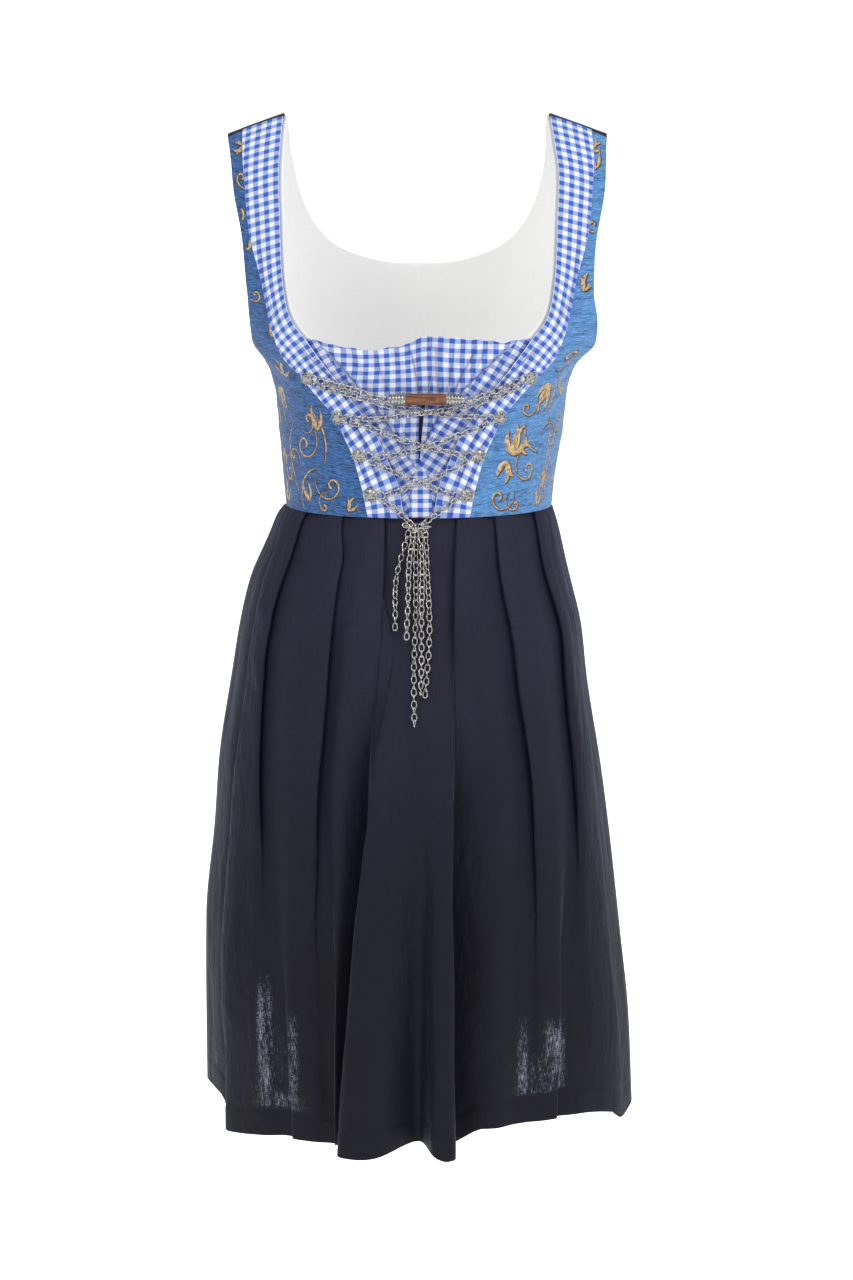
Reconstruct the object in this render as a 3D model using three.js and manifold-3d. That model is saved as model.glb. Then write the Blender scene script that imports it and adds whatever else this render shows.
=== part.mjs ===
// A sleeveless dirndl in the form it has when worn: blue fronts edged with a gingham band, a gathered
// gingham insert laced with chain, a plain navy back and a pleated navy skirt.
// Millimetres, +Z up, front towards -Y, the viewer's right towards +X. The origin is midway between
// the inner ends of the two shoulder seams.
import * as THREE from 'three';
import { mergeVertices } from 'three/addons/utils/BufferGeometryUtils.js';
import Module from 'manifold-3d';

const wasm = await Module();
wasm.setup();

// Driving dimensions
const waistZ = -390;
const neckCornerZ = -217;
const strapInnerX = 130;
const strapSlope = 0.36;
const seamGap = 0.3;
const seatGap = 0.45;
const skirtLength = 630;
const skirtWall = 1.2;
const hemDepth = 27;
const hemExtra = 0.6;

// How far each layer of the bodice lies outside the body form: its inner and its outer face
const layers = {
  liningFront: [-1.3, -0.3],
  liningBack: [0.2, 1.2],
  tape: [-2, -0.9],
  insert: [0, 1.2],
  strip: [1.5, 2.7],
  panel: [1.5, 3.5],
  back: [1.5, 3.1],
  band: [3.8, 5],
};

// Half width and depths of the body form by height. Above the neckline's corners the depths follow
// the shoulder's arch instead.
const bodyForm = [
  { z: -390, halfWidth: 132, front: 93, back: 88 },
  { z: -345, halfWidth: 136, front: 99.5, back: 89 },
  { z: -300, halfWidth: 140, front: 110.5, back: 92 },
  { z: -254, halfWidth: 148, front: 122, back: 98 },
  { z: -217, halfWidth: 172, front: 122, back: 102 },
  { z: -176, halfWidth: 185, front: 122, back: 102 },
  { z: -126, halfWidth: 195, front: 122, back: 102 },
  { z: -75, halfWidth: 200, front: 122, back: 102 },
  { z: 0, halfWidth: 204, front: 122, back: 102 },
];

// Edges of one front, row by row from the shoulder seam down to the waist: the neckline, the outer
// edge of the gingham band, and the armhole followed by the side seam.
const frontRows = [
  { row: 0, neckX: 130, neckZ: 0, bandX: 170, bandZ: -14, sideX: 185, sideZ: -20 },
  { row: 1, neckX: 132, neckZ: -27, bandX: 169, bandZ: -38, sideX: 181, sideZ: -44 },
  { row: 2, neckX: 133, neckZ: -58, bandX: 166, bandZ: -68, sideX: 177, sideZ: -76 },
  { row: 3, neckX: 131, neckZ: -104, bandX: 161, bandZ: -113, sideX: 168, sideZ: -122 },
  { row: 4, neckX: 129, neckZ: -149, bandX: 149, bandZ: -160, sideX: 163, sideZ: -172 },
  { row: 5, neckX: 124, neckZ: -186, bandX: 140, bandZ: -203, sideX: 159, sideZ: -222 },
  { row: 5.5, neckX: 117, neckZ: -203, bandX: 135, bandZ: -220, sideX: 149.5, sideZ: -244 },
  { row: 6, neckX: 106, neckZ: -217, bandX: 127.5, bandZ: -236, sideX: 150, sideZ: -254 },
  { row: 7, neckX: 85, neckZ: -245, bandX: 106, bandZ: -260, sideX: 150, sideZ: -284 },
  { row: 8, neckX: 64, neckZ: -271, bandX: 82, bandZ: -286, sideX: 150, sideZ: -310 },
  { row: 9, neckX: 38, neckZ: -310, bandX: 62, bandZ: -329, sideX: 150, sideZ: -340 },
  { row: 10, neckX: 27.5, neckZ: -336, bandX: 55, bandZ: -354, sideX: 150, sideZ: -362 },
  { row: 11, neckX: 18, neckZ: -362, bandX: 51, bandZ: -374, sideX: 150, sideZ: -377 },
  { row: 12, neckX: 14, neckZ: -390, bandX: 48, bandZ: -390, sideX: 150, sideZ: -390 },
];
const waistRow = 12;

// Edges of one half of the back, row by row: the back neckline down to its lowest point and then the
// middle, and the armhole followed by the side seam.
const backRows = [
  { row: 0, neckX: 130, neckZ: 0, sideX: 185, sideZ: -20 },
  { row: 1, neckX: 128, neckZ: -30, sideX: 180, sideZ: -50 },
  { row: 2, neckX: 122, neckZ: -70, sideX: 172, sideZ: -90 },
  { row: 3, neckX: 110, neckZ: -105, sideX: 165, sideZ: -135 },
  { row: 4, neckX: 86, neckZ: -135, sideX: 161, sideZ: -175 },
  { row: 5, neckX: 48, neckZ: -151, sideX: 159, sideZ: -218 },
  { row: 5.5, neckX: 26, neckZ: -155, sideX: 149.5, sideZ: -243 },
  { row: 6, neckX: 0, neckZ: -156, sideX: 150, sideZ: -254 },
  { row: 7, neckX: 0, neckZ: -210, sideX: 150, sideZ: -284 },
  { row: 8, neckX: 0, neckZ: -265, sideX: 150, sideZ: -315 },
  { row: 9, neckX: 0, neckZ: -325, sideX: 150, sideZ: -350 },
  { row: 10, neckX: 0, neckZ: -390, sideX: 150, sideZ: -390 },
];
const backNeckRow = 6;
const backWaistRow = 10;

// The wavy top edge of the insert, across the front
const insertTop = [
  { x: -125, z: -219 },
  { x: -109, z: -218 },
  { x: -74, z: -223 },
  { x: -51, z: -226 },
  { x: -19, z: -222 },
  { x: 11, z: -212 },
  { x: 31, z: -214 },
  { x: 61, z: -217 },
  { x: 81, z: -219 },
  { x: 96, z: -218 },
  { x: 125, z: -215 },
];

// Where the two halves of the insert meet, and half the width of the slit between them
const closing = [
  { z: -390, x: 0, halfSlit: 0.15 },
  { z: -346, x: 0, halfSlit: 0.15 },
  { z: -330, x: 0.5, halfSlit: 1 },
  { z: -285, x: 3, halfSlit: 3 },
  { z: -262, x: 10, halfSlit: 1 },
  { z: -246, x: 13, halfSlit: 0.15 },
  { z: -212, x: 11, halfSlit: 0.15 },
];

// The gathers of the insert run together at this height, and bend towards it by these powers
const gatherPoint = { z: -352, left: 1.2, right: 1.7 };
const gatherWaves = { pitch: 27, height: 1.7 };

// Outline of the skirt by its drop below the waist seam
const skirtForm = [
  { drop: 0, left: 132, right: 132, front: 93, back: 90 },
  { drop: 30, left: 146, right: 140, front: 106, back: 106 },
  { drop: 77, left: 165, right: 151, front: 117, back: 122 },
  { drop: 125, left: 176, right: 162, front: 125, back: 133 },
  { drop: 175, left: 184, right: 169, front: 131, back: 141 },
  { drop: 272, left: 200, right: 185, front: 140, back: 148 },
  { drop: 340, left: 207, right: 194, front: 144, back: 150 },
  { drop: 446, left: 216, right: 206, front: 148, back: 153 },
  { drop: 536, left: 217, right: 214, front: 150, back: 155 },
  { drop: 630, left: 217, right: 217, front: 150, back: 155 },
];

// Height of the hem round the front, by angle from the middle
const frontHem = [
  { angle: -90, z: -1020 },
  { angle: -60, z: -1013 },
  { angle: -35, z: -1006 },
  { angle: -15, z: -1012 },
  { angle: 9, z: -1012 },
  { angle: 17, z: -991 },
  { angle: 45, z: -988 },
  { angle: 66, z: -997 },
  { angle: 90, z: -1018 },
];
const backHemZ = -1020;

// Angles of the visible fold edges of the knife pleats by drop: the two on each half of the front and
// the one beside the side seam
const pleatAngles = {
  left: [
    { drop: 0, inner: 37, outer: 59, side: 82 },
    { drop: 50, inner: 32, outer: 61, side: 83 },
    { drop: 130, inner: 32, outer: 63, side: 82 },
    { drop: 270, inner: 32, outer: 58, side: 79 },
    { drop: 630, inner: 30, outer: 49, side: 70 },
  ],
  right: [
    { drop: 0, inner: 37, outer: 63, side: 83 },
    { drop: 50, inner: 36, outer: 64, side: 84 },
    { drop: 130, inner: 38, outer: 66, side: 84 },
    { drop: 270, inner: 39, outer: 64, side: 81 },
    { drop: 630, inner: 35, outer: 50, side: 72 },
  ],
};
const backPleatAngles = [
  { waist: 13, hem: 12 },
  { waist: 34, hem: 31 },
  { waist: 57, hem: 51 },
  { waist: 80, hem: 71 },
];

// How a knife pleat opens on its way down: the cloth hidden under its edge, in degrees, how far that
// cloth lies inside the outer layer, and the thickness of a fold
const pleatOpening = [
  { drop: 0, overlap: 7, depth: 5, fold: 2.4 },
  { drop: 50, overlap: 7, depth: 8, fold: 3.2 },
  { drop: 125, overlap: 7.5, depth: 13, fold: 4.2 },
  { drop: 272, overlap: 8, depth: 17, fold: 6 },
  { drop: 630, overlap: 9, depth: 24, fold: 9 },
];

// The middle panel of the front. It starts under both its neighbours and swells out in front of them
// on its way down, so each side has the edge of this panel and the edge of its neighbour. A fold with
// a positive half thickness turns under, one with a negative half thickness turns over.
const middlePanel = {
  left: [
    { drop: 0, panelX: 48, panelLift: -3.8, nextX: 34, nextLift: -1.2, half: 1.2 },
    { drop: 60, panelX: 40, panelLift: -7, nextX: 36, nextLift: -1.5, half: 1.6 },
    { drop: 130, panelX: 25, panelLift: -5, nextX: 38, nextLift: -4, half: 0 },
    { drop: 220, panelX: 39, panelLift: 4, nextX: 47, nextLift: -9, half: -2 },
    { drop: 280, panelX: 49, panelLift: 10, nextX: 50, nextLift: -12, half: -3.5 },
    { drop: 390, panelX: 60, panelLift: 18, nextX: 53, nextLift: -14, half: -5 },
    { drop: 630, panelX: 76, panelLift: 28, nextX: 62, nextLift: -16, half: -5 },
  ],
  right: [
    { drop: 0, panelX: 52, panelLift: -3.8, nextX: 38, nextLift: -1.2, half: 1.2 },
    { drop: 60, panelX: 47, panelLift: -7, nextX: 37, nextLift: -1.5, half: 1.6 },
    { drop: 110, panelX: 35, panelLift: -8, nextX: 38.5, nextLift: -2, half: 1 },
    { drop: 170, panelX: 29, panelLift: -6, nextX: 41, nextLift: -4, half: 0 },
    { drop: 230, panelX: 32, panelLift: 2, nextX: 44, nextLift: -8, half: -1 },
    { drop: 310, panelX: 33, panelLift: 11, nextX: 36, nextLift: -12, half: -3 },
    { drop: 410, panelX: 32, panelLift: 17, nextX: 26, nextLift: -14, half: -4.5 },
    { drop: 630, panelX: 33, panelLift: 28, nextX: 20, nextLift: -16, half: -5 },
  ],
  lift: [
    { drop: 0, middle: -5 },
    { drop: 60, middle: -8 },
    { drop: 130, middle: -8 },
    { drop: 200, middle: -2 },
    { drop: 310, middle: 9 },
    { drop: 630, middle: 17 },
  ],
};
const skirtDrops = [0, 12, 40, 85, 135, 200, 280, 380, 500, 601, 604, 630];

// Lacing hooks, from the top: the middle of the pierced plate and of the ring beside it
const hooks = [
  { plateX: 104.5, ringX: 94.5, z: -255 },
  { plateX: 75, ringX: 64.5, z: -291 },
  { plateX: 56, ringX: 45.5, z: -328 },
  { plateX: 45, ringX: 35, z: -367 },
];
const hookPlate = { radius: 7.4, scallop: 0.9, scallops: 5, thickness: 1.6 };
const hookRing = { outer: 5.2, inner: 3.4 };
const chainRadius = 2;

// Routes of the chain over the bodice: x, z and lift above the body form
const chainRoutes = [
  [[-88.6, -257.4, 7.9], [-74, -260, 7.6], [-60, -263, 8.2], [-47, -267.2, 9.8], [-37, -270.4, 11.8], [-28.9, -271.5, 13.4]],
  [[41.9, -271.5, 13.8], [49, -270.6, 12.4], [61, -267.8, 9.8], [74, -264, 8.2], [88.6, -257.6, 7.9]],
  [[-92.6, -261, 7.9], [-81, -264.6, 7.9], [-61.5, -269, 7.9], [-49, -272.6, 7.9], [-25, -279.3, 7.9],
    [-4, -281.6, 7.9], [9, -284.4, 7.9], [35.6, -288.4, 7.9], [58.4, -290.6, 7.9]],
  [[-58.4, -291.5, 7.9], [-42, -292.3, 7.9], [-29, -290.8, 8], [-16, -288.6, 10.2], [-5, -286.2, 12.2],
    [6, -284.4, 12.4], [18, -283.2, 10.6], [31, -281.4, 8.2], [44, -279.2, 7.9], [58, -275, 7.9], [76, -270, 7.9],
    [92.6, -261, 7.9]],
  [[-61.5, -298, 7.9], [-50, -299, 7.9], [-36, -304.5, 7.9], [-21, -310, 7.9], [-8, -314.4, 7.9], [5, -318.6, 7.9],
    [25, -323.4, 7.9], [39.4, -327.6, 7.9]],
  [[61.5, -298, 7.9], [45, -304.6, 7.9], [32, -309.2, 8.6], [18.5, -314.4, 11.8], [5, -318.8, 12.4], [-8, -322.6, 11.4],
    [-21, -327, 8.2], [-39.2, -330.4, 7.9]],
  [[-42.4, -335.2, 7.9], [-34, -339.4, 7.9], [-21, -345, 7.9], [-8, -350, 7.9], [2, -354, 7.9], [12, -359, 7.9],
    [21, -363.4, 7.9], [28.8, -366.4, 7.9]],
  [[42.4, -335.2, 7.9], [30, -342.6, 8.2], [17, -348, 11.2], [5, -352.9, 12.4], [-8, -358.2, 10.4], [-18, -362.6, 7.8],
    [-28.8, -366.4, 7.9]],
  [[-32.5, -373, 7.9], [-25, -378, 7.6], [-17, -385, 8.6], [-7.6, -394.4, 10]],
  [[32.5, -373, 7.9], [22, -381, 7.6], [12, -389, 8.6], [4.4, -394.4, 10]],
];

const bar = { x: 6.5, z: -271.5, lift: 11.6, length: 39, radius: 5.25 };
const cap = { length: 17, innerRadius: 6, outerRadius: 4, coils: 5, ridge: 0.5 };

// The loose chain ends: where each starts on the head, its sideways swing, and its lower end
const tasselHead = { x: -1.6, z: -400, halfLength: 9, radius: 3.2, lift: 9.6 };
const strandRadius = 2.4;
const strands = [
  { topX: -8.6, swing: -5, bottomX: -23, bottomZ: -495, forward: 0 },
  { topX: -5, swing: -2, bottomX: -11, bottomZ: -503, forward: 5.2 },
  { topX: -1.6, swing: -0.6, bottomX: -4.4, bottomZ: -587, forward: 0 },
  { topX: 1.8, swing: 1.6, bottomX: 1.4, bottomZ: -556, forward: 5.2 },
  { topX: 5.6, swing: 4, bottomX: 6.6, bottomZ: -559, forward: 0 },
];

// Value of a column of a table, smooth through its rows and without overshoot
function lookUp(table, key, column, at) {
  const last = table.length - 1;
  if (at <= table[0][key]) return table[0][column];
  if (at >= table[last][key]) return table[last][column];
  const i = table.findIndex((row) => row[key] > at) - 1;
  const width = (k) => table[k + 1][key] - table[k][key];
  const slope = (k) => (table[k + 1][column] - table[k][column]) / width(k);
  const tangent = (k) => {
    if (k === 0) return slope(0);
    if (k === last) return slope(last - 1);
    const [before, after] = [slope(k - 1), slope(k)];
    return before * after <= 0 ? 0 : (2 * before * after) / (before + after);
  };
  const t = (at - table[i][key]) / width(i);
  const rise = table[i + 1][column] - table[i][column];
  const [m0, m1] = [tangent(i) * width(i), tangent(i + 1) * width(i)];
  return table[i][column] + t * m0 + t * t * (3 * rise - 2 * m0 - m1) + t ** 3 * (m0 + m1 - 2 * rise);
}

const mix = THREE.MathUtils.lerp;
const smooth = THREE.MathUtils.smoothstep;
const radians = THREE.MathUtils.degToRad;

// Height of the shoulder seam at a distance from the middle
const shoulderZ = (x) => -strapSlope * Math.max(0, Math.abs(x) - strapInnerX);

// Angle round the body from the middle of the front for a width at a height
function angleAt(x, z) {
  return Math.asin(THREE.MathUtils.clamp(x / lookUp(bodyForm, 'z', 'halfWidth', z), -1, 1));
}

// Point of the body form at an angle from the middle of its front or of its back
function bodyPoint(angle, z, face) {
  const x = lookUp(bodyForm, 'z', 'halfWidth', z) * Math.sin(angle);
  const rise = THREE.MathUtils.clamp((z - neckCornerZ) / (shoulderZ(x) - neckCornerZ), 0, 1);
  const arch = face === 'front'
    ? (1 - rise ** 1.5) ** 0.7
    : (1 + 0.12 * rise) * (1 - rise ** 3.5) ** 0.6;
  const depth = lookUp(bodyForm, 'z', face, z) * arch * Math.cos(angle);
  return new THREE.Vector3(x, face === 'front' ? -depth : depth, Math.min(z, shoulderZ(x)));
}

// Outward direction of the body form, straight up across the seam on the shoulder
function bodyNormal(angle, z, face) {
  const at = bodyPoint(angle, z, face);
  if (at.z > shoulderZ(at.x) - 0.01) return new THREE.Vector3(Math.sign(at.x) * strapSlope, 0, 1).normalize();
  const step = 0.02;
  const across = bodyPoint(angle + 0.002, z, face).sub(bodyPoint(angle - 0.002, z, face));
  const up = at.clone().sub(bodyPoint(angle, z - step, face));
  const normal = across.cross(up).normalize();
  return face === 'front' ? normal : normal.negate();
}

// The inner and outer point of a layer. Fronts and backs stand off the plane of the side and shoulder
// seams by half a seam gap.
function layerPoint(angle, z, face, [inner, outer], raise = 0) {
  const point = bodyPoint(angle, z, face);
  const normal = bodyNormal(angle, z, face);
  point.y += face === 'front' ? -seamGap / 2 : seamGap / 2;
  const lifted = (lift) => {
    const moved = point.clone().addScaledVector(normal, lift + raise);
    return moved.setZ(Math.max(moved.z, waistZ + seamGap / 2));
  };
  return { inner: lifted(inner), outer: lifted(outer) };
}

// Closed wall over patches of layer points. Points that two patches share join them, and every open
// edge gets a rim between the two faces.
function wallGeometry(patches) {
  const points = [];
  const indexOf = new Map();
  const index = (point) => {
    const key = point.outer.toArray().map((value) => Math.round(value * 1000)).join();
    if (!indexOf.has(key)) {
      indexOf.set(key, points.length);
      points.push(point);
    }
    return indexOf.get(key);
  };
  const faces = [];
  for (const rows of patches) {
    for (let r = 0; r + 1 < rows.length; r++) {
      for (let c = 0; c + 1 < rows[r].length; c++) {
        const corners = [rows[r][c], rows[r][c + 1], rows[r + 1][c + 1], rows[r + 1][c]].map(index);
        for (const face of [[corners[0], corners[1], corners[2]], [corners[0], corners[2], corners[3]]]) {
          if (new Set(face).size === 3) faces.push(face);
        }
      }
    }
  }
  const edges = new Set(faces.flatMap(([a, b, c]) => [`${a} ${b}`, `${b} ${c}`, `${c} ${a}`]));
  const triangles = faces.flatMap(([a, b, c]) => [[2 * a, 2 * b, 2 * c], [2 * c + 1, 2 * b + 1, 2 * a + 1]]);
  for (const edge of edges) {
    const [a, b] = edge.split(' ').map(Number);
    if (edges.has(`${b} ${a}`)) continue;
    triangles.push([2 * b, 2 * a, 2 * a + 1], [2 * b, 2 * a + 1, 2 * b + 1]);
  }
  const geometry = new THREE.BufferGeometry();
  const positions = points.flatMap(({ outer, inner }) => [...outer.toArray(), ...inner.toArray()]);
  geometry.setAttribute('position', new THREE.Float32BufferAttribute(positions, 3));
  geometry.setIndex(triangles.flat());
  return facingOut(geometry);
}

// The same geometry with its faces turned outwards
function facingOut(geometry) {
  const position = geometry.getAttribute('position');
  const index = geometry.getIndex().array;
  const corner = [0, 1, 2].map(() => new THREE.Vector3());
  let volume = 0;
  for (let i = 0; i < index.length; i += 3) {
    corner.forEach((point, k) => point.fromBufferAttribute(position, index[i + k]));
    volume += corner[0].dot(corner[1].clone().cross(corner[2]));
  }
  if (volume < 0) {
    const flipped = Array.from(index);
    for (let i = 0; i < flipped.length; i += 3) [flipped[i], flipped[i + 2]] = [flipped[i + 2], flipped[i]];
    geometry.setIndex(flipped);
  }
  return geometry;
}

// One closed mesh that shares its corners, with position only
function welded(geometry) {
  const plain = geometry.clone();
  plain.deleteAttribute('normal');
  plain.deleteAttribute('uv');
  const merged = mergeVertices(plain, 1e-4);
  const index = Array.from(merged.getIndex().array);
  const kept = [];
  for (let i = 0; i < index.length; i += 3) {
    const face = index.slice(i, i + 3);
    if (new Set(face).size === 3) kept.push(...face);
  }
  merged.setIndex(kept);
  return merged;
}

// A closed mesh as a solid that can be joined and cut, and back
function solidOf(geometry) {
  const mesh = welded(geometry);
  return new wasm.Manifold(new wasm.Mesh({
    numProp: 3,
    vertProperties: new Float32Array(mesh.getAttribute('position').array),
    triVerts: new Uint32Array(mesh.getIndex().array),
  }));
}

function geometryOf(solid) {
  const mesh = solid.getMesh();
  const geometry = new THREE.BufferGeometry();
  geometry.setAttribute('position', new THREE.Float32BufferAttribute(Array.from(mesh.vertProperties), 3));
  geometry.setIndex(Array.from(mesh.triVerts));
  return geometry;
}

// Evenly spaced numbers from the first to the last
const steps = (first, last, count) => Array.from({ length: count + 1 }, (_, i) => mix(first, last, i / count));

// Angle and height of a point on a front: the share runs from 0 at the neckline to 1 at the band's
// outer edge and 2 at the armhole or the side seam
function frontPlace(row, share) {
  const place = (edge) => {
    const z = lookUp(frontRows, 'row', `${edge}Z`, row);
    return { angle: angleAt(lookUp(frontRows, 'row', `${edge}X`, row), z), z };
  };
  const [from, to, t] = share <= 1 ? [place('neck'), place('band'), share] : [place('band'), place('side'), share - 1];
  const angle = mix(from.angle, to.angle, t);
  const z = mix(from.z, to.z, t);
  if (row === 0) return { angle, z: 0 };
  return { angle, z: Math.max(z, waistZ + seamGap / 2) };
}

const neckByHeight = [...frontRows].reverse();

const cornerRow = 6;
const insertLevels = steps(cornerRow, waistRow, 9);
const frontLevels = [...steps(0, cornerRow, 10).slice(0, -1), ...insertLevels];

// One layer of a front over a range of shares
function frontGeometry(side, layer, shares) {
  const rows = frontLevels.map((row) => shares.map((share) => {
    const { angle, z } = frontPlace(row, share);
    return layerPoint(side * angle, z, 'front', layer);
  }));
  return wallGeometry([rows]);
}

const bandShares = [0, 1 / 3, 2 / 3, 1];
const panelShares = [0.06, 1 / 3, 2 / 3, 1, 1.25, 1.5, 1.75, 2];
const liningShares = [-0.04, 1 / 3, 2 / 3, 1, 1.25, 1.5, 1.75, 2];

// Height of the gathers of the insert: waves that run together at the gather point, and die out
// towards the band and the slit
function gatherHeight(x, z, side) {
  const top = lookUp(insertTop, 'x', 'z', x);
  const left = THREE.MathUtils.clamp((z - gatherPoint.z) / (top - gatherPoint.z), 0.1, 1);
  const fanX = x / left ** (side < 0 ? gatherPoint.left : gatherPoint.right);
  const wave = 0.5 - 0.5 * Math.cos((2 * Math.PI * fanX) / gatherWaves.pitch);
  const fromBand = lookUp(neckByHeight, 'neckZ', 'neckX', z) - Math.abs(x);
  const fromSlit = Math.abs(x - lookUp(closing, 'z', 'x', z));
  const calm = smooth(fromBand, 2, 12) * smooth(fromSlit, 2, 12) * smooth(left, 0.1, 0.4);
  return gatherWaves.height * wave * calm;
}

// Half of the gathered insert: under the band it follows the rows of the front, and from the band's
// edge it runs on to the slit
function insertGeometry(side) {
  const coverShares = [2 / 3, 1 / 3];
  const columns = 12;
  const top = lookUp(insertTop, 'x', 'z', closing[closing.length - 1].x);
  const rows = insertLevels.map((row) => {
    const down = (row - cornerRow) / (waistRow - cornerRow);
    const slitZ = mix(top, waistZ, down);
    const slitX = lookUp(closing, 'z', 'x', slitZ) + side * lookUp(closing, 'z', 'halfSlit', slitZ);
    const covered = coverShares.map((share) => {
      const { angle, z } = frontPlace(row, share);
      return layerPoint(side * angle, z, 'front', layers.insert);
    });
    const edge = frontPlace(row, 0);
    const edgeTop = frontPlace(cornerRow, 0).z;
    const open = steps(0, 1, columns).map((across) => {
      const angle = mix(side * edge.angle, angleAt(slitX, slitZ), across);
      const straightZ = mix(edge.z, slitZ, across);
      const x = bodyPoint(angle, straightZ, 'front').x;
      const wave = (lookUp(insertTop, 'x', 'z', x) - mix(edgeTop, top, across)) * smooth(across, 0, 0.15);
      const z = straightZ + wave * (1 - down) ** 3;
      return layerPoint(angle, z, 'front', layers.insert, gatherHeight(x, z, side));
    });
    return [...covered, ...open].reverse();
  });
  return wallGeometry([rows]);
}

// A flat strip of one layer between two widths at each height
function stripGeometry(heights, leftX, rightX, layer, columns) {
  return wallGeometry([heights.map((z) => steps(leftX(z), rightX(z), columns).map((x) => (
    layerPoint(angleAt(x, z), z, 'front', layer))))]);
}

// One layer of the back, made of two mirrored patches that share the middle below the neckline
function backGeometry(layer, inset) {
  const columns = 7;
  const levels = [...steps(0, backNeckRow, 9), ...steps(backNeckRow + 1, backWaistRow, 3)];
  const patch = (side) => levels.map((row) => {
    const neckZ = lookUp(backRows, 'row', 'neckZ', row);
    const sideZ = lookUp(backRows, 'row', 'sideZ', row);
    const neckX = row < backNeckRow ? lookUp(backRows, 'row', 'neckX', row) + inset : 0;
    const from = angleAt(neckX, neckZ);
    const to = angleAt(lookUp(backRows, 'row', 'sideX', row), sideZ);
    return steps(0, 1, columns).map((share) => {
      const z = row === 0 ? 0 : Math.max(mix(neckZ, sideZ, share), waistZ + seamGap / 2);
      return layerPoint(side * mix(from, to, share), z, 'back', layer);
    });
  });
  return wallGeometry([patch(-1), patch(1).map((row) => row.reverse())]);
}

// Point of the skirt's outline at an angle from the middle of its front or back, moved outwards by a
// lift and along the cloth by a shift
function skirtPoint(drop, angle, lift, shift, face) {
  const halfWidth = lookUp(skirtForm, 'drop', angle < 0 ? 'left' : 'right', drop);
  const depth = lookUp(skirtForm, 'drop', face, drop);
  const [sin, cos] = [Math.sin(radians(angle)), Math.cos(radians(angle))];
  const tangent = new THREE.Vector2(halfWidth * cos, depth * sin).normalize();
  const x = halfWidth * sin + tangent.x * shift + tangent.y * lift;
  const y = -depth * cos + tangent.y * shift - tangent.x * lift;
  return new THREE.Vector2(x, face === 'front' ? y : -y);
}

// Outer layer of the skirt at the waist, in line with the cloth above the seam
const waistLift = (drop) => 2.4 * (1 - smooth(drop, 0, 60));

// The three points of a turn of the cloth: the side it arrives on, the tip, the side it leaves on
function turn(angle, lift, half, tip) {
  return [
    { angle, lift: lift - half, shift: 0 },
    { angle, lift, shift: tip },
    { angle, lift: lift + half, shift: 0 },
  ];
}

// The cloth of one half of the skirt from its middle to the side seam, as points in a ring. A knife
// pleat's edge faces the middle, and the panel before it runs on underneath.
function knifePleats(drop, start, edges) {
  const overlap = lookUp(pleatOpening, 'drop', 'overlap', drop);
  const depth = lookUp(pleatOpening, 'drop', 'depth', drop);
  const fold = lookUp(pleatOpening, 'drop', 'fold', drop);
  const points = [...start];
  for (const edge of edges) {
    const from = points[points.length - 1];
    const under = Math.min(edge + overlap, 88.5);
    const crest = from.lift < -fold ? 0.5 : 0.35;
    points.push({ angle: mix(from.angle, edge, crest), lift: 0, shift: 0 });
    points.push({ angle: edge - 0.25 * overlap, lift: -0.93 * depth, shift: 0 });
    points.push(...turn(under, -depth + fold / 2, fold / 2, fold / 2));
    points.push(...turn(edge, -fold / 2, fold / 2, -fold / 2));
  }
  return [...points, { angle: 90, lift: 0, shift: 0 }];
}

// Front half ring of the skirt on one side, with the edge of the middle panel
function frontHalfRing(drop, name) {
  const table = middlePanel[name];
  const at = (column) => lookUp(table, 'drop', column, drop);
  const halfWidth = lookUp(skirtForm, 'drop', name, drop);
  const degrees = (x) => THREE.MathUtils.radToDeg(Math.asin(x / halfWidth));
  const middle = lookUp(middlePanel.lift, 'drop', 'middle', drop);
  const half = at('half');
  const tip = Math.abs(half) * smooth(at('panelX') - at('nextX'), -2, 6);
  const panelAngle = degrees(at('panelX'));
  const start = [
    { angle: 0, lift: middle, shift: 0 },
    { angle: 0.5 * panelAngle, lift: mix(middle, at('panelLift') - half, 0.35), shift: 0 },
    ...turn(panelAngle, at('panelLift'), half, tip),
    ...turn(degrees(at('nextX')), at('nextLift'), half, -tip),
  ];
  const edges = ['inner', 'outer', 'side'].map((pleat) => lookUp(pleatAngles[name], 'drop', pleat, drop));
  return knifePleats(drop, start, edges);
}

function backHalfRing(drop) {
  const down = drop / skirtLength;
  const depth = lookUp(pleatOpening, 'drop', 'depth', drop);
  const edges = backPleatAngles.map(({ waist, hem }) => mix(waist, hem, down));
  return knifePleats(drop, [{ angle: 0, lift: -0.93 * depth, shift: 0 }], edges);
}

// A path in the plane moved to its right by a distance, with mitred corners
function besidePath(path, distance) {
  const directions = path.slice(1).map((point, i) => point.clone().sub(path[i]).normalize());
  return path.map((point, i) => {
    const [before, after] = [directions[Math.max(i - 1, 0)], directions[Math.min(i, directions.length - 1)]];
    const normals = [before, after].map((d) => new THREE.Vector2(d.y, -d.x));
    const bisector = normals[0].clone().add(normals[1]).normalize();
    return point.clone().addScaledVector(bisector, distance / Math.max(bisector.dot(normals[0]), 0.66));
  });
}

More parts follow.
